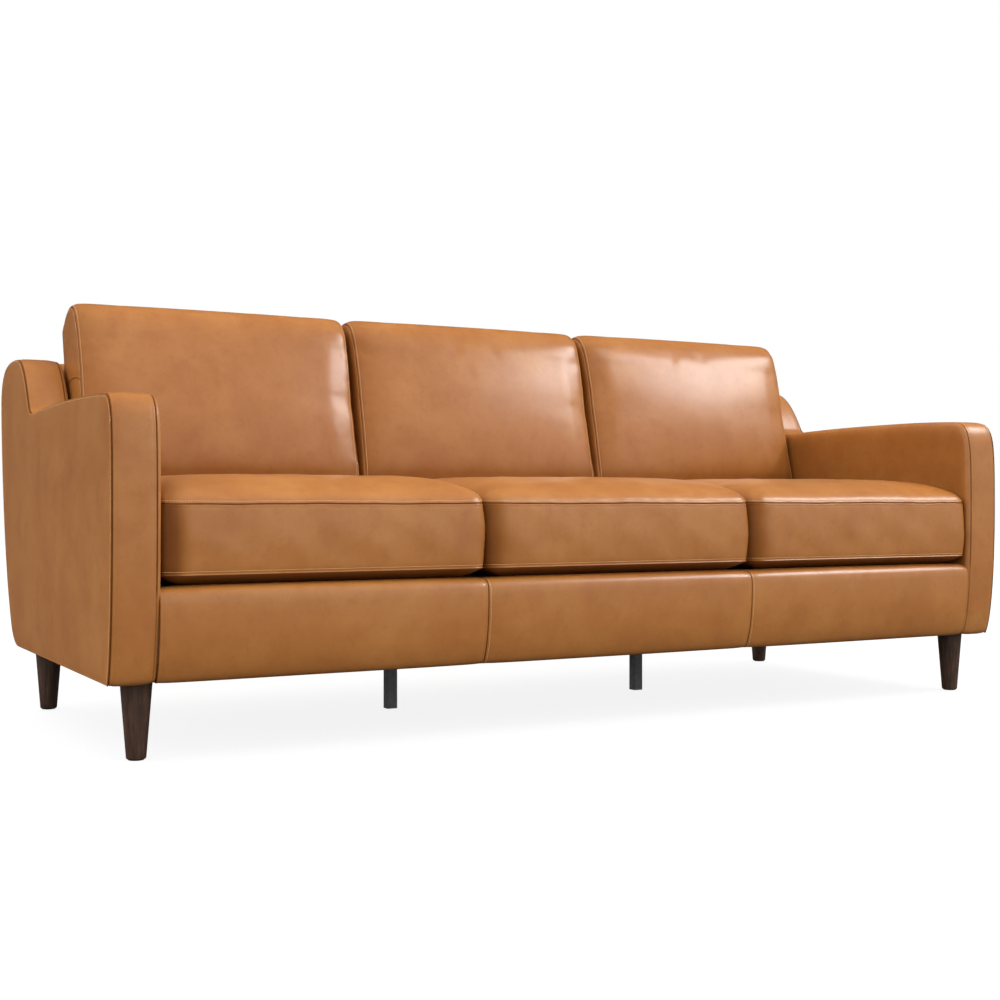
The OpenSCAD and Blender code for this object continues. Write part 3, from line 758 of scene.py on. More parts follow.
def back_panel(name, line, edges, ends, replaced):
    """A leather panel of the back between two X edges; ends says which of its ends are sewn."""
    width, height = edges[1] - edges[0], lengths(line)[-1]
    us, vs = rows(width, PANEL_STEP), rows(height, 10.0, ends)
    xs = edges[0] + us * width
    away_u, away_v = seam_distance(us, width, (True, True)), seam_distance(vs, height, ends)
    away = np.minimum(away_u[:, None], away_v[None])
    lift = 1.0 - np.exp(-np.maximum(away - 6, 0) / 45)
    off = rise(away) - BACK_SUNK + BACK_PUFF * lift
    off = off + ripple(xs[:, None], vs[None] * height, 0.5) * lift
    made, normal = swept(along(line, vs), off, xs)
    hide(name, made.reshape(-1, 3), grid_quads(*off.shape), seam_shade(away), [replaced])
    return made, normal


def make_back():
    """Inside and outside back, with three rear panels, and the foam below them."""
    line = evenly(back_profile(), 6.0)
    cut = int(np.argmax(line[:, 0] > SPLIT))
    skin = line[: cut + 1]
    whole = PANEL_EDGES[0], PANEL_EDGES[-1]
    back_panel("inside_back_panel", skin, whole, (False, True), "inside_back_panel")
    sewn = []
    for k, word in enumerate(THREE):
        name, edges = f"outside_back_{word}", PANEL_EDGES[k : k + 2]
        made, normal = back_panel(name, line[cut:], edges, (True, False), "outside_back_panel")
        flat = np.tile(normal[STITCH_ROW], (made.shape[0], 1))
        sewn += [(made[STITCH_ROW], normal), (made[-STITCH_ROW - 1], normal)]
        sewn.append((made[:, STITCH_ROW], flat))
    stitches("back", "frame", sewn)
    long_pad("back_padding", chain(inset(skin, 5.0), inset(skin, 13.0)[::-1]))


# Cushions -------------------------------------------------


def box_grid(pa, pb, pc):
    """The surface of a box as one closed grid: vertex parameters, quads and each face's indices."""
    shape = (len(pa), len(pb), len(pc))
    shell = np.zeros(shape, bool)
    sides = [(slice(None),) * axis + (end,) for axis in range(3) for end in (0, -1)]
    for side in sides:
        shell[side] = True
    ids = np.full(shape, -1)
    ids[shell] = np.arange(shell.sum())
    params = np.stack(np.meshgrid(pa, pb, pc, indexing="ij"), -1)[shell]
    faces, quads = [], []
    for number, side in enumerate(sides):
        face = ids[side]
        cells = face.ravel()[grid_quads(*face.shape)]
        quads.append(cells[:, ::-1] if number in (0, 3, 4) else cells)
        faces.append(face)
    return params, np.vstack(quads), faces


def spline_matrix(known, wanted):
    """Natural cubic spline through values at known places, read at wanted ones, as a matrix."""
    n = len(known)
    h = np.diff(known)
    second = np.zeros((n, n))
    system = np.eye(n)
    for i in range(1, n - 1):
        system[i, i - 1 : i + 2] = h[i - 1], 2 * (h[i - 1] + h[i]), h[i]
        second[i, i - 1 : i + 2] = 6 / h[i - 1], -6 / h[i - 1] - 6 / h[i], 6 / h[i]
    curve = np.linalg.solve(system, second)
    k = np.clip(np.searchsorted(known, wanted) - 1, 0, n - 2)
    b = (wanted - known[k]) / h[k]
    a = 1 - b
    eye = np.eye(n)
    bend = ((a**3 - a)[:, None] * curve[k] + (b**3 - b)[:, None] * curve[k + 1])
    return a[:, None] * eye[k] + b[:, None] * eye[k + 1] + bend * (h[k] ** 2 / 6)[:, None]


def smooth_field(field, reach):
    """A field on a grid, blurred over about reach cells, with its edges kept."""
    for _ in range(reach):
        padded = np.pad(field, ((1, 1), (1, 1), (0, 0)), mode="edge")
        field = (
            padded[:-2, 1:-1] + padded[2:, 1:-1] + padded[1:-1, :-2] + padded[1:-1, 2:]
            + 4 * padded[1:-1, 1:-1]
        ) / 8
    return field


CLOTH = {
    "quality": 6, "mass": 0.35, "tension_stiffness": 40, "compression_stiffness": 40,
    "shear_stiffness": 15, "bending_stiffness": 1.2, "shrink_min": -0.02, "use_pressure": True,
    "uniform_pressure_force": 4.0,
}
CLOTH_FRAMES = 20
# Row spacing of the finished cushions and of the simulated covers
FINE_STEP, COARSE_STEP = 9.0, 13.0
# Furthest that a point is moved, cells over which creases fade at a seam, and cells over which
# the broad shape of the simulation is averaged
CREASE_CAP, CREASE_FADE, CREASE_REACH = 24.0, 2.6, 24


def inflate(name, points, quads):
    """Cloth simulation of a closed cover under inside pressure; returns the moved points."""
    obj = new_mesh(name, points, quads, LEATHER)
    cover = obj.modifiers.new("cover", "CLOTH")
    for key, value in CLOTH.items():
        setattr(cover.settings, key, value)
    cover.settings.effector_weights.gravity = 0
    cover.point_cache.frame_start, cover.point_cache.frame_end = 1, CLOTH_FRAMES
    scene = bpy.context.scene
    for number in range(1, CLOTH_FRAMES + 1):
        scene.frame_set(number)
    shown = obj.evaluated_get(bpy.context.evaluated_depsgraph_get())
    moved = np.zeros(len(points) * 3, np.float32)
    shown.data.vertices.foreach_get("co", moved)
    scene.frame_set(1)
    mesh = obj.data
    bpy.data.objects.remove(obj)
    bpy.data.meshes.remove(mesh)
    return moved.reshape(-1, 3) / MM


def creases(name, shape, spans, fine, share):
    """A share of a cover's simulated creases, as an offset for every vertex of the fine grid."""
    coarse = [np.linspace(-half, half, 1 + int(length / COARSE_STEP)) for half, length in spans]
    params, quads, faces = box_grid(*coarse)
    start = shape(params)
    moved = inflate(name, start, quads) - start
    size = np.linalg.norm(moved, axis=1)[:, None]
    moved *= np.minimum(1, CREASE_CAP / np.maximum(size, 1e-9))
    broad = np.zeros_like(moved)
    for face in faces:
        broad[face] = smooth_field(moved[face], CREASE_REACH)
    sharp = (moved - broad) * share
    for face in faces:
        in_u, in_v = [np.minimum(np.arange(n), np.arange(n)[::-1]) for n in face.shape]
        inner = np.minimum(in_u[:, None], in_v[None])
        sharp[face] *= (1 - np.exp(-((inner / CREASE_FADE) ** 2)))[..., None]
    fine_params, _, fine_faces = box_grid(*fine)
    offset = np.zeros_like(fine_params)
    for number, (face, fine_face) in enumerate(zip(faces, fine_faces)):
        mu, mv = [spline_matrix(coarse[k], fine[k]) for k in range(3) if k != number // 2]
        offset[fine_face] = np.einsum("ij,jkc,lk->ilc", mu, sharp[face], mv)
    return offset


def crown_curve(*points):
    """A seam-to-crown curve as a table: arc length, distance in plan and share of the crown."""
    line = chain(bezier(*points, 200), [points[-1]])
    line = line - line[0]
    return lengths(line), line[:, 0], line[:, 1] / line[-1, 1]


def domed_curve(half, *terms):
    """The same table for a panel that rolls off its seam and stays gently domed to the middle."""
    far = np.concatenate([np.arange(0, 20, 0.1), np.arange(20, half + 0.5, 0.5)])
    high = sum(rise_by * (1 - np.exp(-far / reach)) for rise_by, reach in terms)
    line = np.stack([far, high], axis=1)
    return lengths(line), far, high / high[-1]


def spaced(crown_low, crown_high, half):
    """Plan positions from -half to half whose rows sit at EDGE_ROWS along the crowned surface."""
    low = np.interp(EDGE_ROWS, crown_low[0], crown_low[1])
    high = np.interp(EDGE_ROWS, crown_high[0], crown_high[1])
    start, stop = -half + low, (half - high)[::-1]
    count = int(round((stop[0] - start[-1]) / FINE_STEP)) + 1
    return np.concatenate([start, np.linspace(start[-1], stop[0], count)[1:-1], stop])


def soft_min(a, b):
    """The smaller of two shares from 0 to 1, rounded where they are close."""
    least = np.minimum(a, b)
    reach = 1.4 * least * (1 - least) + 1e-6
    near = np.clip(1 - np.abs(a - b) / reach, 0, 1)
    return least - near**2 * reach / 4


def round_corners(x, y, half_x, half_y, radius):
    """Plan points of a rectangle, moved onto one with rounded corners."""
    over_x = np.clip((np.abs(x) - (half_x - radius)) / radius, 0, 1)
    over_y = np.clip((np.abs(y) - (half_y - radius)) / radius, 0, 1)
    far = np.maximum(np.hypot(over_x, over_y), 1e-9)
    pull = np.where((over_x > 0) & (over_y > 0), np.maximum(over_x, over_y) / far, 1.0)
    new_x = np.where(over_x > 0, np.sign(x) * (half_x - radius + radius * over_x * pull), x)
    new_y = np.where(over_y > 0, np.sign(y) * (half_y - radius + radius * over_y * pull), y)
    return new_x, new_y


# Seat cushions: half their sizes, their pitch, the heights of their lower and upper seams, the
# rise of their crown, how it rises from the side, front and rear seams, and their corner radius
SEAT_LO, SEAT_HI = corners("seat_cover_middle")
SEAT_HALF = (SEAT_HI[0] - SEAT_LO[0]) / 2
SEAT_DEPTH = (SEAT_HI[1] - SEAT_LO[1]) / 2
SEAT_MID = (SEAT_HI[1] + SEAT_LO[1]) / 2
SEAT_PITCH = 2 * INNER_X / 3
SEAT_LOW, SEAT_HIGH = 321.0, 443.0
SEAT_TALL = SEAT_HIGH - SEAT_LOW
SEAT_RISE = SEAT_HI[2] - SEAT_HIGH
SEAT_SIDE = crown_curve((0, 0), (3, SEAT_RISE * 0.56), (48, SEAT_RISE), (150, SEAT_RISE))
SEAT_FRONT = crown_curve((0, 0), (5, SEAT_RISE * 0.51), (80, SEAT_RISE), (200, SEAT_RISE))
SEAT_REAR = crown_curve((0, 0), (60, SEAT_RISE * 0.3), (180, SEAT_RISE), (328, SEAT_RISE))
SEAT_CORNER = 30.0
# How far its sides draw in, how wide its underside rolls, and how far its boxing bulges
SEAT_PULL, SEAT_ROLL, SEAT_BELLY = 3.5, 46.0, 4.5


def seat_shape(params):
    """Points of a seat cushion, about its own middle in X, for box parameters in mm."""
    x, y, c = params.T
    share_x, share_y = x / SEAT_HALF, y / SEAT_DEPTH
    near_x = SEAT_HALF - np.abs(x)
    crown = soft_min(
        np.interp(near_x, SEAT_SIDE[1], SEAT_SIDE[2]),
        soft_min(
            np.interp(SEAT_DEPTH + y, SEAT_FRONT[1], SEAT_FRONT[2]),
            np.interp(SEAT_DEPTH - y, SEAT_REAR[1], SEAT_REAR[2]),
        ),
    )
    crown = np.where((near_x <= 0) | (np.abs(y) >= SEAT_DEPTH), 0, crown)
    px, py = round_corners(x, y, SEAT_HALF, SEAT_DEPTH, SEAT_CORNER)
    px = px * (1 - SEAT_PULL / SEAT_HALF * (1 - share_y**2))
    py = py * (1 - SEAT_PULL / SEAT_DEPTH * (1 - share_x**2))
    height = (c + 1) / 2
    z = SEAT_LOW + SEAT_TALL * height
    wave = 0.5 * np.sin(px / 51.0 + 1.0) + 0.25 * np.sin(px / 17.0 + py / 29.0)
    wave = wave + 0.5 * np.cos(py / 47.0)
    z = z + wave * np.where(c > -1, height, 0)
    top, bottom = c >= 1, c <= -1
    z = np.where(top, z + SEAT_RISE * crown, z)
    edge = np.minimum(near_x, SEAT_DEPTH - np.abs(y))
    under = 1 - np.clip(1 - edge / SEAT_ROLL, 0, 1) ** 1.4
    z = np.where(bottom, SEAT_LOW - (SEAT_LOW - DECK_Z - 1.0) * under, z)
    return np.stack([px, py + SEAT_MID, z], -1)


def seat_rows():
    """Box parameters of a seat cushion, with close rows at its seams."""
    side = spaced(SEAT_SIDE, SEAT_SIDE, SEAT_HALF)
    return side, spaced(SEAT_FRONT, SEAT_REAR, SEAT_DEPTH), rows(SEAT_TALL, 7.0) * 2 - 1


def ring(a):
    """Closed loop of indices round the four sides of a grid of indices."""
    return np.concatenate([a[:-1, 0], a[-1, :-1], a[:0:-1, -1], a[0, :0:-1], a[:1, 0]])


def sewn_cushion(name, made, quads, shade, replaced, loops):
    """A cushion's cover with its lines of stitches, given as loops of indices, on its own body."""
    hide(name, made, quads, shade, replaced, name)
    normals = vertex_normals(made, quads)
    stitches(name, name, [(made[loop], normals[loop]) for loop in loops])


def turned(base, quads, k):
    """Points and quads of seat k's cushion, turned over for the left one, and its normals."""
    side = -1 if k < 0 else 1
    base, quads = sided(base, side), facing(quads, side)
    return base, quads, vertex_normals(base, quads)


def puckers(run, away, pitch, drift, reach, uneven=1.5):
    """Small gathers along a seam, from -1 to 1, that die out at it and away from it."""
    wave = np.sin(run / pitch + uneven * np.sin(run / drift))
    return wave * np.exp(-((away / reach) ** 2)) * np.clip(away / 5, 0, 1)


# Painted shade at the left side of a seat cushion, where the arm and the next cushion shade it: how far
# from the side it begins, its reach and its depth; then its reach and depth at the right side
ARM_PAINTED_SHADE = (20.0, 22.0, 0.9)
NEXT_PAINTED_SHADE = (0.0, 38.0, 0.78)
RIGHT_PAINTED_SHADE = (20.0, 0.3)


def seat_cushion(word, k, offset):
    """A boxed seat cushion: crowned top, two seams round the boxing, topstitching, painted shade at its
    sides and underside.
    """
    params, quads, faces = box_grid(*seat_rows())
    base = seat_shape(params)
    base = base + offset * np.clip((base[:, 2] - SEAT_LOW) / 30.0, 0, 1)[:, None]
    base, quads, normals = turned(base, quads, k)
    x, y, c = params.T
    up = (c + 1) / 2 * SEAT_TALL
    near_x = np.interp(SEAT_HALF - np.abs(x), SEAT_SIDE[1], SEAT_SIDE[0])
    near_y = np.where(
        y < 0,
        np.interp(SEAT_DEPTH + y, SEAT_FRONT[1], SEAT_FRONT[0]),
        np.interp(SEAT_DEPTH - y, SEAT_REAR[1], SEAT_REAR[0]),
    )
    edge = np.minimum(near_x, near_y)
    on_top, on_bottom = c >= 1, c <= -1
    from_high = np.where(on_top, edge, np.where(on_bottom, FAR, SEAT_TALL - up))
    from_low = np.where(on_bottom, edge, np.where(on_top, FAR, up))
    push = rise(from_high)
    welt = np.interp(from_low, EDGE_ROWS, [1.6, 1.2, 0.2, -0.7, -0.5, -0.6, -0.2, 0.0, 0.1, 0.1])
    push = push + np.where(from_low < 25, welt, 0)
    boxing = ~on_top & ~on_bottom
    arch = np.sin(math.pi * up / SEAT_TALL)
    belly = np.where(boxing, arch**0.8 * SEAT_BELLY, 0)
    run = base[:, 0] + base[:, 1] + 37 * k
    pucker = puckers(run, from_high, 7.3, 33.0, 16) * np.where(boxing, 0.54, 0.36)
    slack = np.where(boxing, 0.8 * np.sin(run / 23.0 + up / 19.0) * arch, 0)
    made = base + normals * (push + belly + pucker + slack)[:, None]
    shade = seam_shade(from_high) + 0.5 * seam_shade(from_low - 2.4, 1.6)
    # Painted shade at the sides, strongest on the left by the arm and the next cushion, and weaker on
    # the top
    hidden, reach, deep = ARM_PAINTED_SHADE if k < 0 else NEXT_PAINTED_SHADE
    on_left = base[:, 0] < 0
    inside = np.maximum(SEAT_HALF - np.abs(base[:, 0]) - np.where(on_left, hidden, 0), 0)
    painted_side_shade = np.exp(-((inside / np.where(on_left, reach, RIGHT_PAINTED_SHADE[0])) ** 2))
    painted_side_shade = np.where(on_left, deep, RIGHT_PAINTED_SHADE[1]) * painted_side_shade * np.where(on_top, 0.35, 1)
    # Painted shade on the underside, darker away from the lower seam
    painted_under_shade = np.where(on_bottom, 0.4 + 0.45 * np.clip(edge / 26.0, 0, 1), 0)
    shade = np.maximum.reduce([shade, painted_side_shade, painted_under_shade])
    made[:, 0] += k * SEAT_PITCH
    row = STITCH_ROW
    low = [faces[2][:-1, row], faces[1][:-1, row], faces[3][:0:-1, row], faces[0][:0:-1, row]]
    loops = [ring(faces[5][row:-row, row:-row]), np.concatenate([*low, faces[2][:1, row]])]
    replaced = [f"seat_cover_{word}", f"seat_foam_{word}"]
    sewn_cushion(f"seat_cushion_{word}", made, quads, np.clip(shade, 0, 1), replaced, loops)


# Back cushions: half their width, their pitch and lean, the height of their foot, their length,
# thickness and depth of the foot's front, their roll at the sides, and the boxing's cross seam
BACK_HALF = (corners("back_cover_middle")[1][0] - corners("back_cover_middle")[0][0]) / 2
BACK_PITCH = (corners("back_cover_right")[0][0] - corners("back_cover_left")[0][0]) / 2
TILT = math.atan(LEAN)
BACK_LOW = 475.0
BACK_LEN = 420.0
BACK_THICK = 146.0
BACK_FOOT = back_line(BACK_LOW) - 170
# How far its side seams draw in, and how far its boxing bulges
SIDE_PULL, SIDE_PUFF = 3.0, 5.0
BACK_ROLL = domed_curve(BACK_HALF, (4, 7), (13, 56), (18, 165))
BACK_TOP_ROLL = domed_curve(BACK_HALF, (8, 8), (3, 40))
JOIN_AT = 0.60


def back_ring():
    """Middle outline of a back cushion as thickness and length: front, top, rear and bottom."""
    length, thick = BACK_LEN, BACK_THICK
    front = bezier((2, 14), (-27, 0.25 * length), (-30, 0.56 * length), (-12, 0.80 * length), 80)
    over = bezier((-12, 0.80 * length), (-1, 0.945 * length), (20, length), (62, length), 60)
    down = bezier(
        (62, length), (100, length), (thick, 0.95 * length), (thick, 0.84 * length), 50
    )
    rear = bezier(
        (thick, 0.84 * length), (thick + 18, 0.6 * length), (thick + 18, 0.25 * length),
        (thick, 14), 60,
    )
    under = chain([[thick, 14], [thick - 4, 4], [thick - 14, 0]], [[14, 0], [5, 3], [2, 14]])
    return front, over, down, rear, under


def four_sides(loop, cuts):
    """A loop of points from the front bottom corner, cut into front, top, rear and bottom."""
    front, top = loop[: cuts[0] + 1], loop[cuts[0] : cuts[1] + 1]
    rear, bottom = loop[cuts[1] : cuts[2] + 1], chain(loop[cuts[2] :], loop[:1])
    return bottom[::-1], top, front, rear[::-1]


# Points round a back cushion's outline
RING_COUNT = 720
# How far a side seam lies below the middle outline: at its start, low and high on the front, at
# the ends of front, top, rear roll and rear, and at its start again; and how many points blur it
SEAM_DEPTHS = (8, 24, 31, 18, 9, 13, 6, 8)
SEAM_BLUR = 25


def back_outlines():
    """The four sides of a back cushion's outline at its middle and at its side seams."""
    front, over, down, rear, under = back_ring()
    whole = chain(front, over, down, rear, under)
    whole = whole[np.concatenate([[True], np.linalg.norm(np.diff(whole, axis=0), axis=1) > 0.01])]
    closed = chain(whole, whole[:1])
    run = np.arange(RING_COUNT) / RING_COUNT
    line = along(closed, run)
    out = outward(chain(line[-1:], line, line[:1]))[1:-1]
    shares = np.cumsum([lengths(part)[-1] for part in (front, over, down, rear)])
    shares = shares / lengths(closed)[-1]
    depth = np.interp(run, [0, 0.08, shares[0] * 0.6, *shares, 1], SEAM_DEPTHS)
    depth = np.convolve(np.tile(depth, 3), np.ones(SEAM_BLUR) / SEAM_BLUR, "same")
    depth = depth[RING_COUNT : 2 * RING_COUNT]
    seam_line = line - out * depth[:, None]
    cuts = [
        int(RING_COUNT * (shares[0] + 0.45 * (shares[1] - shares[0]))),
        int(RING_COUNT * (shares[1] + 0.75 * (shares[2] - shares[1]))),
        int(RING_COUNT * shares[3]),
    ]
    return four_sides(line, cuts), four_sides(seam_line, cuts)


BACK_MIDDLE, BACK_SEAM = back_outlines()


def back_shape(params):
    """Points of a back cushion in its own frame: X, thickness and length, for box parameters."""
    x, b, c = params.T
    u, v = (b + 1) / 2, (c + 1) / 2
    seam_at, middle_at = coons(*BACK_SEAM, u, v), coons(*BACK_MIDDLE, u, v)
    near = BACK_HALF - np.abs(x)
    swell = np.interp(near, BACK_ROLL[1], BACK_ROLL[2])
    top_swell = np.interp(near, BACK_TOP_ROLL[1], BACK_TOP_ROLL[2])
    swell = swell + (top_swell - swell) * np.clip((v - 0.84) / 0.12, 0, 1)
    swell = np.where(np.abs(x) >= BACK_HALF, 0, swell)
    pull = SIDE_PULL * (1 - (2 * v - 1) ** 2)
    side = np.sign(x) * pull * np.abs(x / BACK_HALF) ** 6
    flat = seam_at + (middle_at - seam_at) * swell[:, None]
    return np.stack([x - side, flat[:, 0], flat[:, 1]], -1)


def back_rows():
    """Box parameters of a back cushion, with close rows at its seams."""
    lower = rows(BACK_LEN * JOIN_AT, FINE_STEP) * JOIN_AT
    upper = JOIN_AT + rows(BACK_LEN * (1 - JOIN_AT), FINE_STEP) * (1 - JOIN_AT)
    across = spaced(BACK_ROLL, BACK_ROLL, BACK_HALF)
    return across, rows(BACK_THICK, 8.0) * 2 - 1, np.concatenate([lower, upper[1:]]) * 2 - 1


def leaned(points, k):
    """Points of a back cushion's own frame, leaned against the back of seat k."""
    x, t, u = points.T
    y = BACK_FOOT + FRONT_Y + t * math.cos(TILT) + u * math.sin(TILT)
    z = BACK_LOW - t * math.sin(TILT) + u * math.cos(TILT)
    return np.stack([x + k * BACK_PITCH, y, z], -1)


def back_cushion(word, k, offset):
    """A back cushion: a panel that rolls over the top, sewn to a boxing at each side, with painted shade
    at its foot and sides.
    """
    params, quads, faces = box_grid(*back_rows())
    base, quads, normals = turned(back_shape(params) + offset, quads, k)
    x, b, c = params.T
    u, v = (b + 1) / 2, (c + 1) / 2
    on_side = np.abs(x) >= BACK_HALF
    from_side = np.interp(BACK_HALF - np.abs(x), BACK_ROLL[1], BACK_ROLL[0])
    inside = np.minimum(np.minimum(u, 1 - u) * BACK_THICK, np.minimum(v, 1 - v) * BACK_LEN)
    away = np.where(on_side, inside, from_side)
    join = np.where((x >= BACK_HALF) & (k != 0), np.abs(v - JOIN_AT) * BACK_LEN, FAR)
    behind = np.where(c >= 1, (1 - u) * BACK_THICK, np.where(b >= 1, (1 - v) * BACK_LEN, FAR))
    push = np.minimum.reduce([rise(away), rise(join), rise(behind)])
    puff = np.where(on_side, SIDE_PUFF * (1 - np.exp(-np.maximum(inside - 5, 0) / 14)), 0)
    run = base[:, 2] + 0.6 * base[:, 1] + 53 * k
    pucker = 0.55 * puckers(run, away, 8.1, 37.0, 18, 1.4)
    top = base[:, 0] + 29 * k
    bumps = np.sin(top / 6.7 + 1.8 * np.sin(top / 41.0)) * np.clip(np.sin(top / 57.0) + 0.3, 0, 1)
    bumps = 0.9 * bumps * np.exp(-((behind - 8) / 14) ** 2) * np.clip(behind / 4, 0, 1)
    made = leaned(base + normals * (push + puff + pucker + bumps)[:, None], k)
    # Painted shade at the foot of the front, where the seat cushion shades it, fading up the front
    low = v * BACK_LEN
    foot = 0.5 * np.exp(-np.maximum(low - 28, 0) / 34) + 0.10 * np.exp(-low / 150)
    foot = np.where(b <= -1, foot, 0)
    # Painted shade on the side boxings and along the front's side rolls, wider on the left side
    reach = np.where(base[:, 0] < 0, 60.0, 16.0)
    boxing = np.where(on_side, 0.26, 0.26 * np.exp(-((from_side / reach) ** 2)))
    shade = np.maximum.reduce([seam_shade(away, 2.2), seam_shade(join), seam_shade(behind)])
    shade = np.maximum(shade, 1 - (1 - foot) * (1 - boxing))
    row = STITCH_ROW
    loops = [ring(face[row:-row, row:-row]) for face in faces[:2]]
    loops += [np.append(faces[2][at, row:-1], faces[5][at, :-row]) for at in (row, -1 - row)]
    replaced = [f"back_cover_{word}", f"back_fill_{word}"]
    sewn_cushion(f"back_cushion_{word}", made, quads, shade, replaced, loops)


def make_cushions():
    """The six loose cushions; their creases come from one simulated cover of each kind."""
    seat_offset = back_offset = 0.0
    spans = (SEAT_HALF, 2 * SEAT_HALF), (SEAT_DEPTH, 2 * SEAT_DEPTH), (1, SEAT_TALL)
    seat_offset = creases("seat_cover", seat_shape, spans, seat_rows(), 0.18)
    spans = (BACK_HALF, 2 * BACK_HALF), (1, BACK_THICK), (1, BACK_LEN)
    back_offset = creases("back_cover", back_shape, spans, back_rows(), 0.30)
    for k, word in enumerate(THREE, -1):
        seat_cushion(word, k, seat_offset)
        back_cushion(word, k, back_offset)


# Legs, posts and the frame inside -------------------------


def lathe(name, profile, centre, material, turns=48):
    """A turned solid from radius and height pairs."""
    angle = np.arange(turns) / turns * 2 * math.pi
    round_x, round_y = np.cos(angle), np.sin(angle)
    loops = [
        np.stack([centre[0] + r * round_x, centre[1] + r * round_y, np.full(turns, height)], -1)
        for r, height in profile
    ]
    return new_mesh(name, *solid(loops), material)


# Radius of a leg's foot as a share of the radius at its top
FOOT_SHARE = 34 / 56


def make_legs():
    """Four round tapered legs with eased edges, each with a felt glide under its foot."""
    for word in ("front_left", "front_right", "rear_left", "rear_right"):
        lo, hi = corners(f"leg_{word}")
        centre, top = (lo + hi) / 2, hi[2]
        wide = (hi[0] - lo[0]) / 2
        foot = wide * FOOT_SHARE
        slope = (wide - foot) / top
        body = [(foot + slope * z, z) for z in np.linspace(4.5, top - 2.5, 14)]
        ease = [(foot - 2.2, 1.6), (foot - 0.9, 2.2), (foot - 0.1, 3.2)]
        profile = ease + body + [(wide - 0.5, top - 0.8), (wide - 1.8, top)]
        leg = lathe(f"wood_leg_{word}", profile, centre, WOOD)
        declare(leg, "frame", [f"leg_{word}"])
        felt = [(foot - 4.5, 0.0), (foot - 3.2, 0.3), (foot - 3.0, 1.0), (foot - 3.4, 2.0)]
        glide = lathe(f"glide_{word}", felt, centre, LINING, 32)
        declare(glide, "frame")


def finish_frame_nodes():
    """Procedural materials for the CAD nodes that stay."""
    kinds = {
        TIMBER: (
            "front_rail", "rear_rail", "stretcher_", "leg_blocks", "front_post_", "arm_top_rail_",
            "wing_post_", "back_top_rail", "back_tack_rail", "back_upright_",
        ),
        PLYWOOD: ("arm_board_",),
        STEEL: ("seat_springs", "spring_clips", "tie_wires", "leg_bolts", "leg_plates", "frame_screws"),
        WEBBING: ("back_webbing",),
        BLACK: ("centre_post_",),
    }
    for material, starts in kinds.items():
        for name, node in NODES.items():
            if name.startswith(starts):
                node.data.materials.clear()
                node.data.materials.append(material)


# Half the width of the dust cover's hole for a centre post
POST_HOLE = 26.0
# Points across and along a stretched cloth and the deck pad
CLOTH_GRID, DECK_GRID = (170, 70), (150, 52)


def hole_free(xs, ys, quads, holes):
    """The quads of a grid that do not lie over a square hole."""
    mid_x, mid_y = (xs[:-1] + xs[1:])[:, None] / 2, (ys[:-1] + ys[1:])[None] / 2
    keep = np.ones((len(xs) - 1, len(ys) - 1), bool)
    for x0, y0, x1, y1 in holes:
        keep &= (mid_x < x0) | (mid_x > x1) | (mid_y < y0) | (mid_y > y1)
    return quads[keep.ravel()]


def stretched_cloth(name, node, sag, holes=(), up=1):
    """A cloth tacked down along its four edges, drawn into shallow waves between them."""
    lo, hi = corners(node)
    cuts_x = [value for hole in holes for value in (hole[0], hole[2])]
    cuts_y = [value for hole in holes for value in (hole[1], hole[3])]
    xs = np.unique(np.concatenate([np.linspace(lo[0] + 1, hi[0] - 1, CLOTH_GRID[0]), cuts_x]))
    ys = np.unique(np.concatenate([np.linspace(lo[1] + 1, hi[1] - 1, CLOTH_GRID[1]), cuts_y]))
    x, y = np.meshgrid(xs, ys, indexing="ij")
    edge = np.minimum(np.minimum(x - xs[0], xs[-1] - x), np.minimum(y - ys[0], ys[-1] - y))
    free = 1 - np.exp(-edge / 45)
    pull = 0.5 * np.sin(x / 16.0) * np.exp(-((y - ys[0]) / 40) ** 2)
    pull = pull + 0.5 * np.sin(x / 18.0 + 1.0) * np.exp(-((ys[-1] - y) / 40) ** 2)
    level = hi[2] if up > 0 else lo[2]
    z = level - sag * free + (ripple(x * 1.3, y, 0.8) * free + pull * np.clip(edge / 8, 0, 1)) * 0.6
    made = np.stack([x, y, z], -1).reshape(-1, 3)
    quads = hole_free(xs, ys, grid_quads(len(xs), len(ys)), holes)
    piece = new_mesh(name, made, facing(quads, -1 if up < 0 else 1), LINING)
    declare(piece, "frame", [node])


def make_deck_pad():
    """The thin foam pad of the deck, pressed down along its tacked edges."""
    lo, hi = corners("deck_pad")
    half_x, half_y = (hi[0] - lo[0]) / 2, (hi[1] - lo[1]) / 2
    rows_x, rows_y = [
        np.linspace(-half, half, n) for half, n in zip((half_x, half_y), DECK_GRID)
    ]
    params, quads, _ = box_grid(rows_x, rows_y, np.linspace(-1, 1, 5))
    x, y, c = params.T
    edge = np.minimum(half_x - np.abs(x), half_y - np.abs(y))
    thick = (hi[2] - lo[2]) * (1 - 0.5 * np.exp(-edge / 16))
    made = np.stack([
        x * (1 - 3.0 / half_x * (1 - (y / half_y) ** 2)) + (lo[0] + hi[0]) / 2,
        y * (1 - 3.0 / half_y * (1 - (x / half_x) ** 2)) + (lo[1] + hi[1]) / 2,
        lo[2] + thick * (c + 1) / 2,
    ], -1)
    pad("deck_pad", made, quads, fill=0.9)


def make_cloths():
    """The deck cloth under the seat cushions and the dust cover with its holes for the posts."""
    stretched_cloth("cloth_deck", "deck_cloth", 1.2)
    holes = []
    for word in ("left", "right"):
        lo, hi = corners(f"centre_post_{word}")
        mid_x, mid_y = (lo[0] + hi[0]) / 2, (lo[1] + hi[1]) / 2
        holes.append((mid_x - POST_HOLE, mid_y - POST_HOLE, mid_x + POST_HOLE, mid_y + POST_HOLE))
    stretched_cloth("cloth_dust_cover", "dust_cover", 2.0, holes, up=-1)


# Studio ---------------------------------------------------

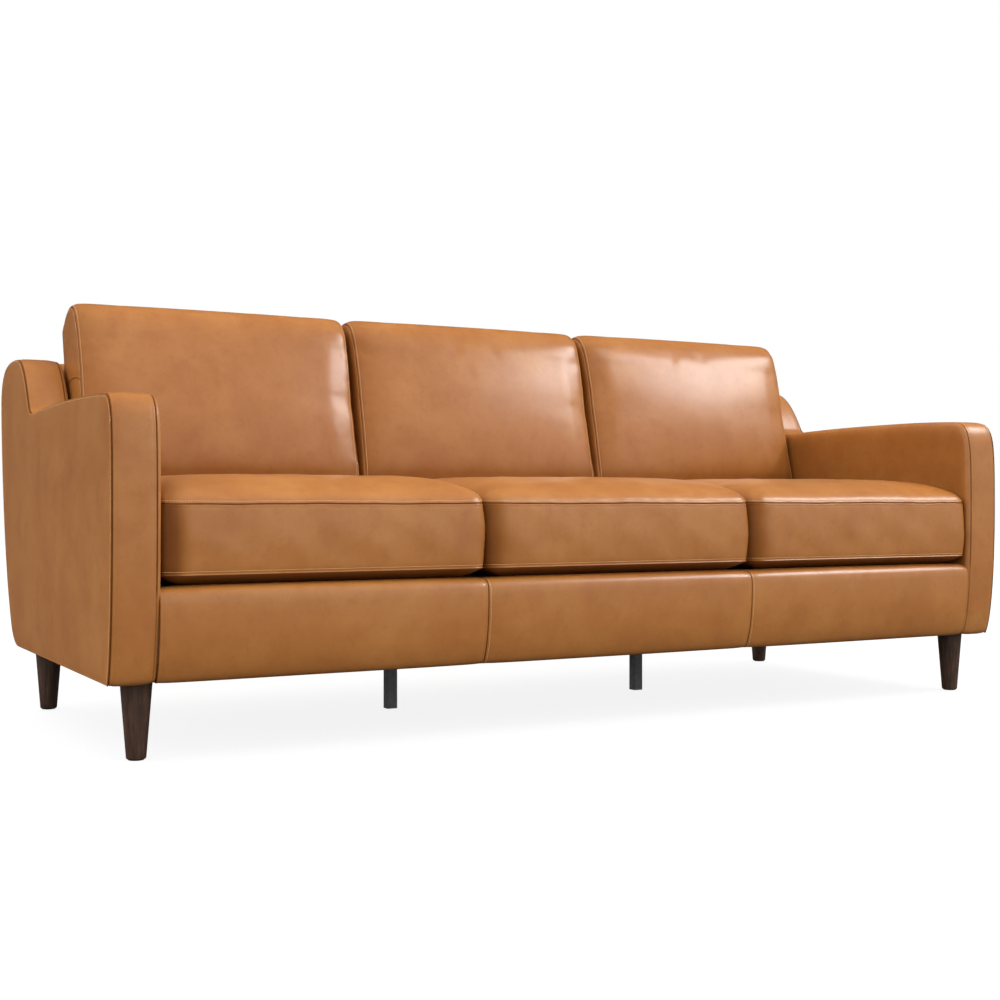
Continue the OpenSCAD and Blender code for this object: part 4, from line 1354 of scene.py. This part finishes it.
# Light of the backdrop: level with the floor and overhead, then extra from the sides of an axis
SKY = (0.82, 1.84)
SKY_SIDE = 1.55
SKY_AXIS = (0.90, -0.44, 0.0)
# What gloss sees of the backdrop: ahead near the horizon, and everywhere else
SKY_GLOSS = (0.30, 0.06)

KEY_PLACE = (3.12, -1.70, 2.94)
KEY_AIM = (0.6, 0.1, 0.7)
CAMERA_PLACE = (-1.645, -2.934, 0.450)
CAMERA_TURN = -28.947
CAMERA_LENS = 52.66
FLOOR_HALF = 12e3


def floor_material():
    """A plain pale floor, bright enough to melt into the white backdrop."""
    n = Finish("floor_pale")
    pale = n.ramp(n.noise(2.0), (0.3, (0.118, 0.118, 0.118)), (0.7, (0.122, 0.122, 0.122)))
    path = n.node("ShaderNodeLightPath", out=None).outputs
    n.set(
        Base_Color=n.blend(path["Is Glossy Ray"], pale, (0.03, 0.03, 0.03)), Roughness=0.9,
        Emission_Color=(1, 1, 1), Emission_Strength=n.maths("MULTIPLY", path["Is Camera Ray"], 0.87),
    )
    return n.material


def backdrop():
    """A white backdrop whose soft light comes mostly from above and from the sides."""
    world = bpy.data.worlds.new("backdrop")
    world.use_nodes = True
    n = Tree(world.node_tree)
    light = n.tree.nodes["Background"]
    light.inputs["Color"].default_value = (1, 1, 1, 1)
    path = n.node("ShaderNodeLightPath", out=None).outputs
    way = n.node("ShaderNodeTexCoord", out="Generated")
    split = n.node("ShaderNodeSeparateXYZ", {0: way}, None).outputs
    along_axis = n.node("ShaderNodeVectorMath", {0: way, 1: SKY_AXIS}, "Value", operation="DOT_PRODUCT")
    aside = n.node("ShaderNodeMath", {0: along_axis}, operation="ABSOLUTE")
    sky = n.maths("ADD", n.span(split["Z"], *SKY), n.span(aside, 0.0, SKY_SIDE, 0.2, 1.0))
    ahead = n.span(split["Y"], *SKY_GLOSS, -0.6, 0.0)
    gloss = n.span(split["Z"], ahead, SKY_GLOSS[1], 0.05, 0.35)
    shown = n.span(path["Is Glossy Ray"], sky, gloss)
    n.feed(light.inputs["Strength"], n.span(path["Is Camera Ray"], shown, 1.0))
    return world


def soft_edges(data):
    """Fades a lamp's panel smoothly from its middle to its rim, as a diffuser does."""
    data.use_nodes = True
    n = Tree(data.node_tree)
    place = n.node("ShaderNodeNewGeometry", out="Parametric")
    apart = n.node("ShaderNodeVectorMath", {0: place, 1: (0.5, 0.5, 0.0)}, "Value", operation="DISTANCE")
    fade = n.span(apart, 1.0, 0.0, 0.1, 0.5, interpolation_type="SMOOTHSTEP")
    n.feed(n.tree.nodes["Emission"].inputs["Strength"], fade)


def placed(name, data, place):
    """An object of the scene at a place."""
    obj = bpy.data.objects.new(name, data)
    obj.location = place
    bpy.context.scene.collection.objects.link(obj)
    return obj


def key_light(name, size, power, shine=False):
    """A soft rectangular lamp from the right; shine is for one that only gives gloss."""
    data = bpy.data.lights.new(name, "AREA")
    data.shape, data.size, data.size_y = "RECTANGLE", *size
    data.energy = power
    lamp = placed(name, data, KEY_PLACE)
    lamp.rotation_mode = "QUATERNION"
    lamp.rotation_quaternion = (Vector(KEY_PLACE) - Vector(KEY_AIM)).to_track_quat("Z", "Y")
    lamp.visible_camera, lamp.visible_diffuse, lamp.visible_glossy = False, not shine, shine
    if shine:
        soft_edges(data)


def studio():
    """Pale floor, white backdrop, a soft key from the right and a camera low on the left."""
    far = FLOOR_HALF
    rim = [[-far, -far, 0], [far, -far, 0], [far, far, 0], [-far, far, 0]]
    new_mesh("floor", rim, [[0, 1, 2, 3]], floor_material())
    scene = bpy.context.scene
    scene.world = backdrop()
    scene.view_settings.view_transform = "Standard"
    key_light("key", (1.05, 0.8), 32)
    key_light("key_shine", (1.9, 1.3), 250, shine=True)
    data = bpy.data.cameras.new("camera")
    data.lens, data.sensor_width = CAMERA_LENS, 36.0
    data.clip_start, data.clip_end = 0.05, 100.0
    scene.camera = placed("camera", data, CAMERA_PLACE)
    scene.camera.rotation_euler = (math.radians(90), 0, math.radians(CAMERA_TURN))


make_arms()
make_rail()
make_back()
make_cushions()
make_legs()
make_deck_pad()
make_cloths()
finish_frame_nodes()
studio()
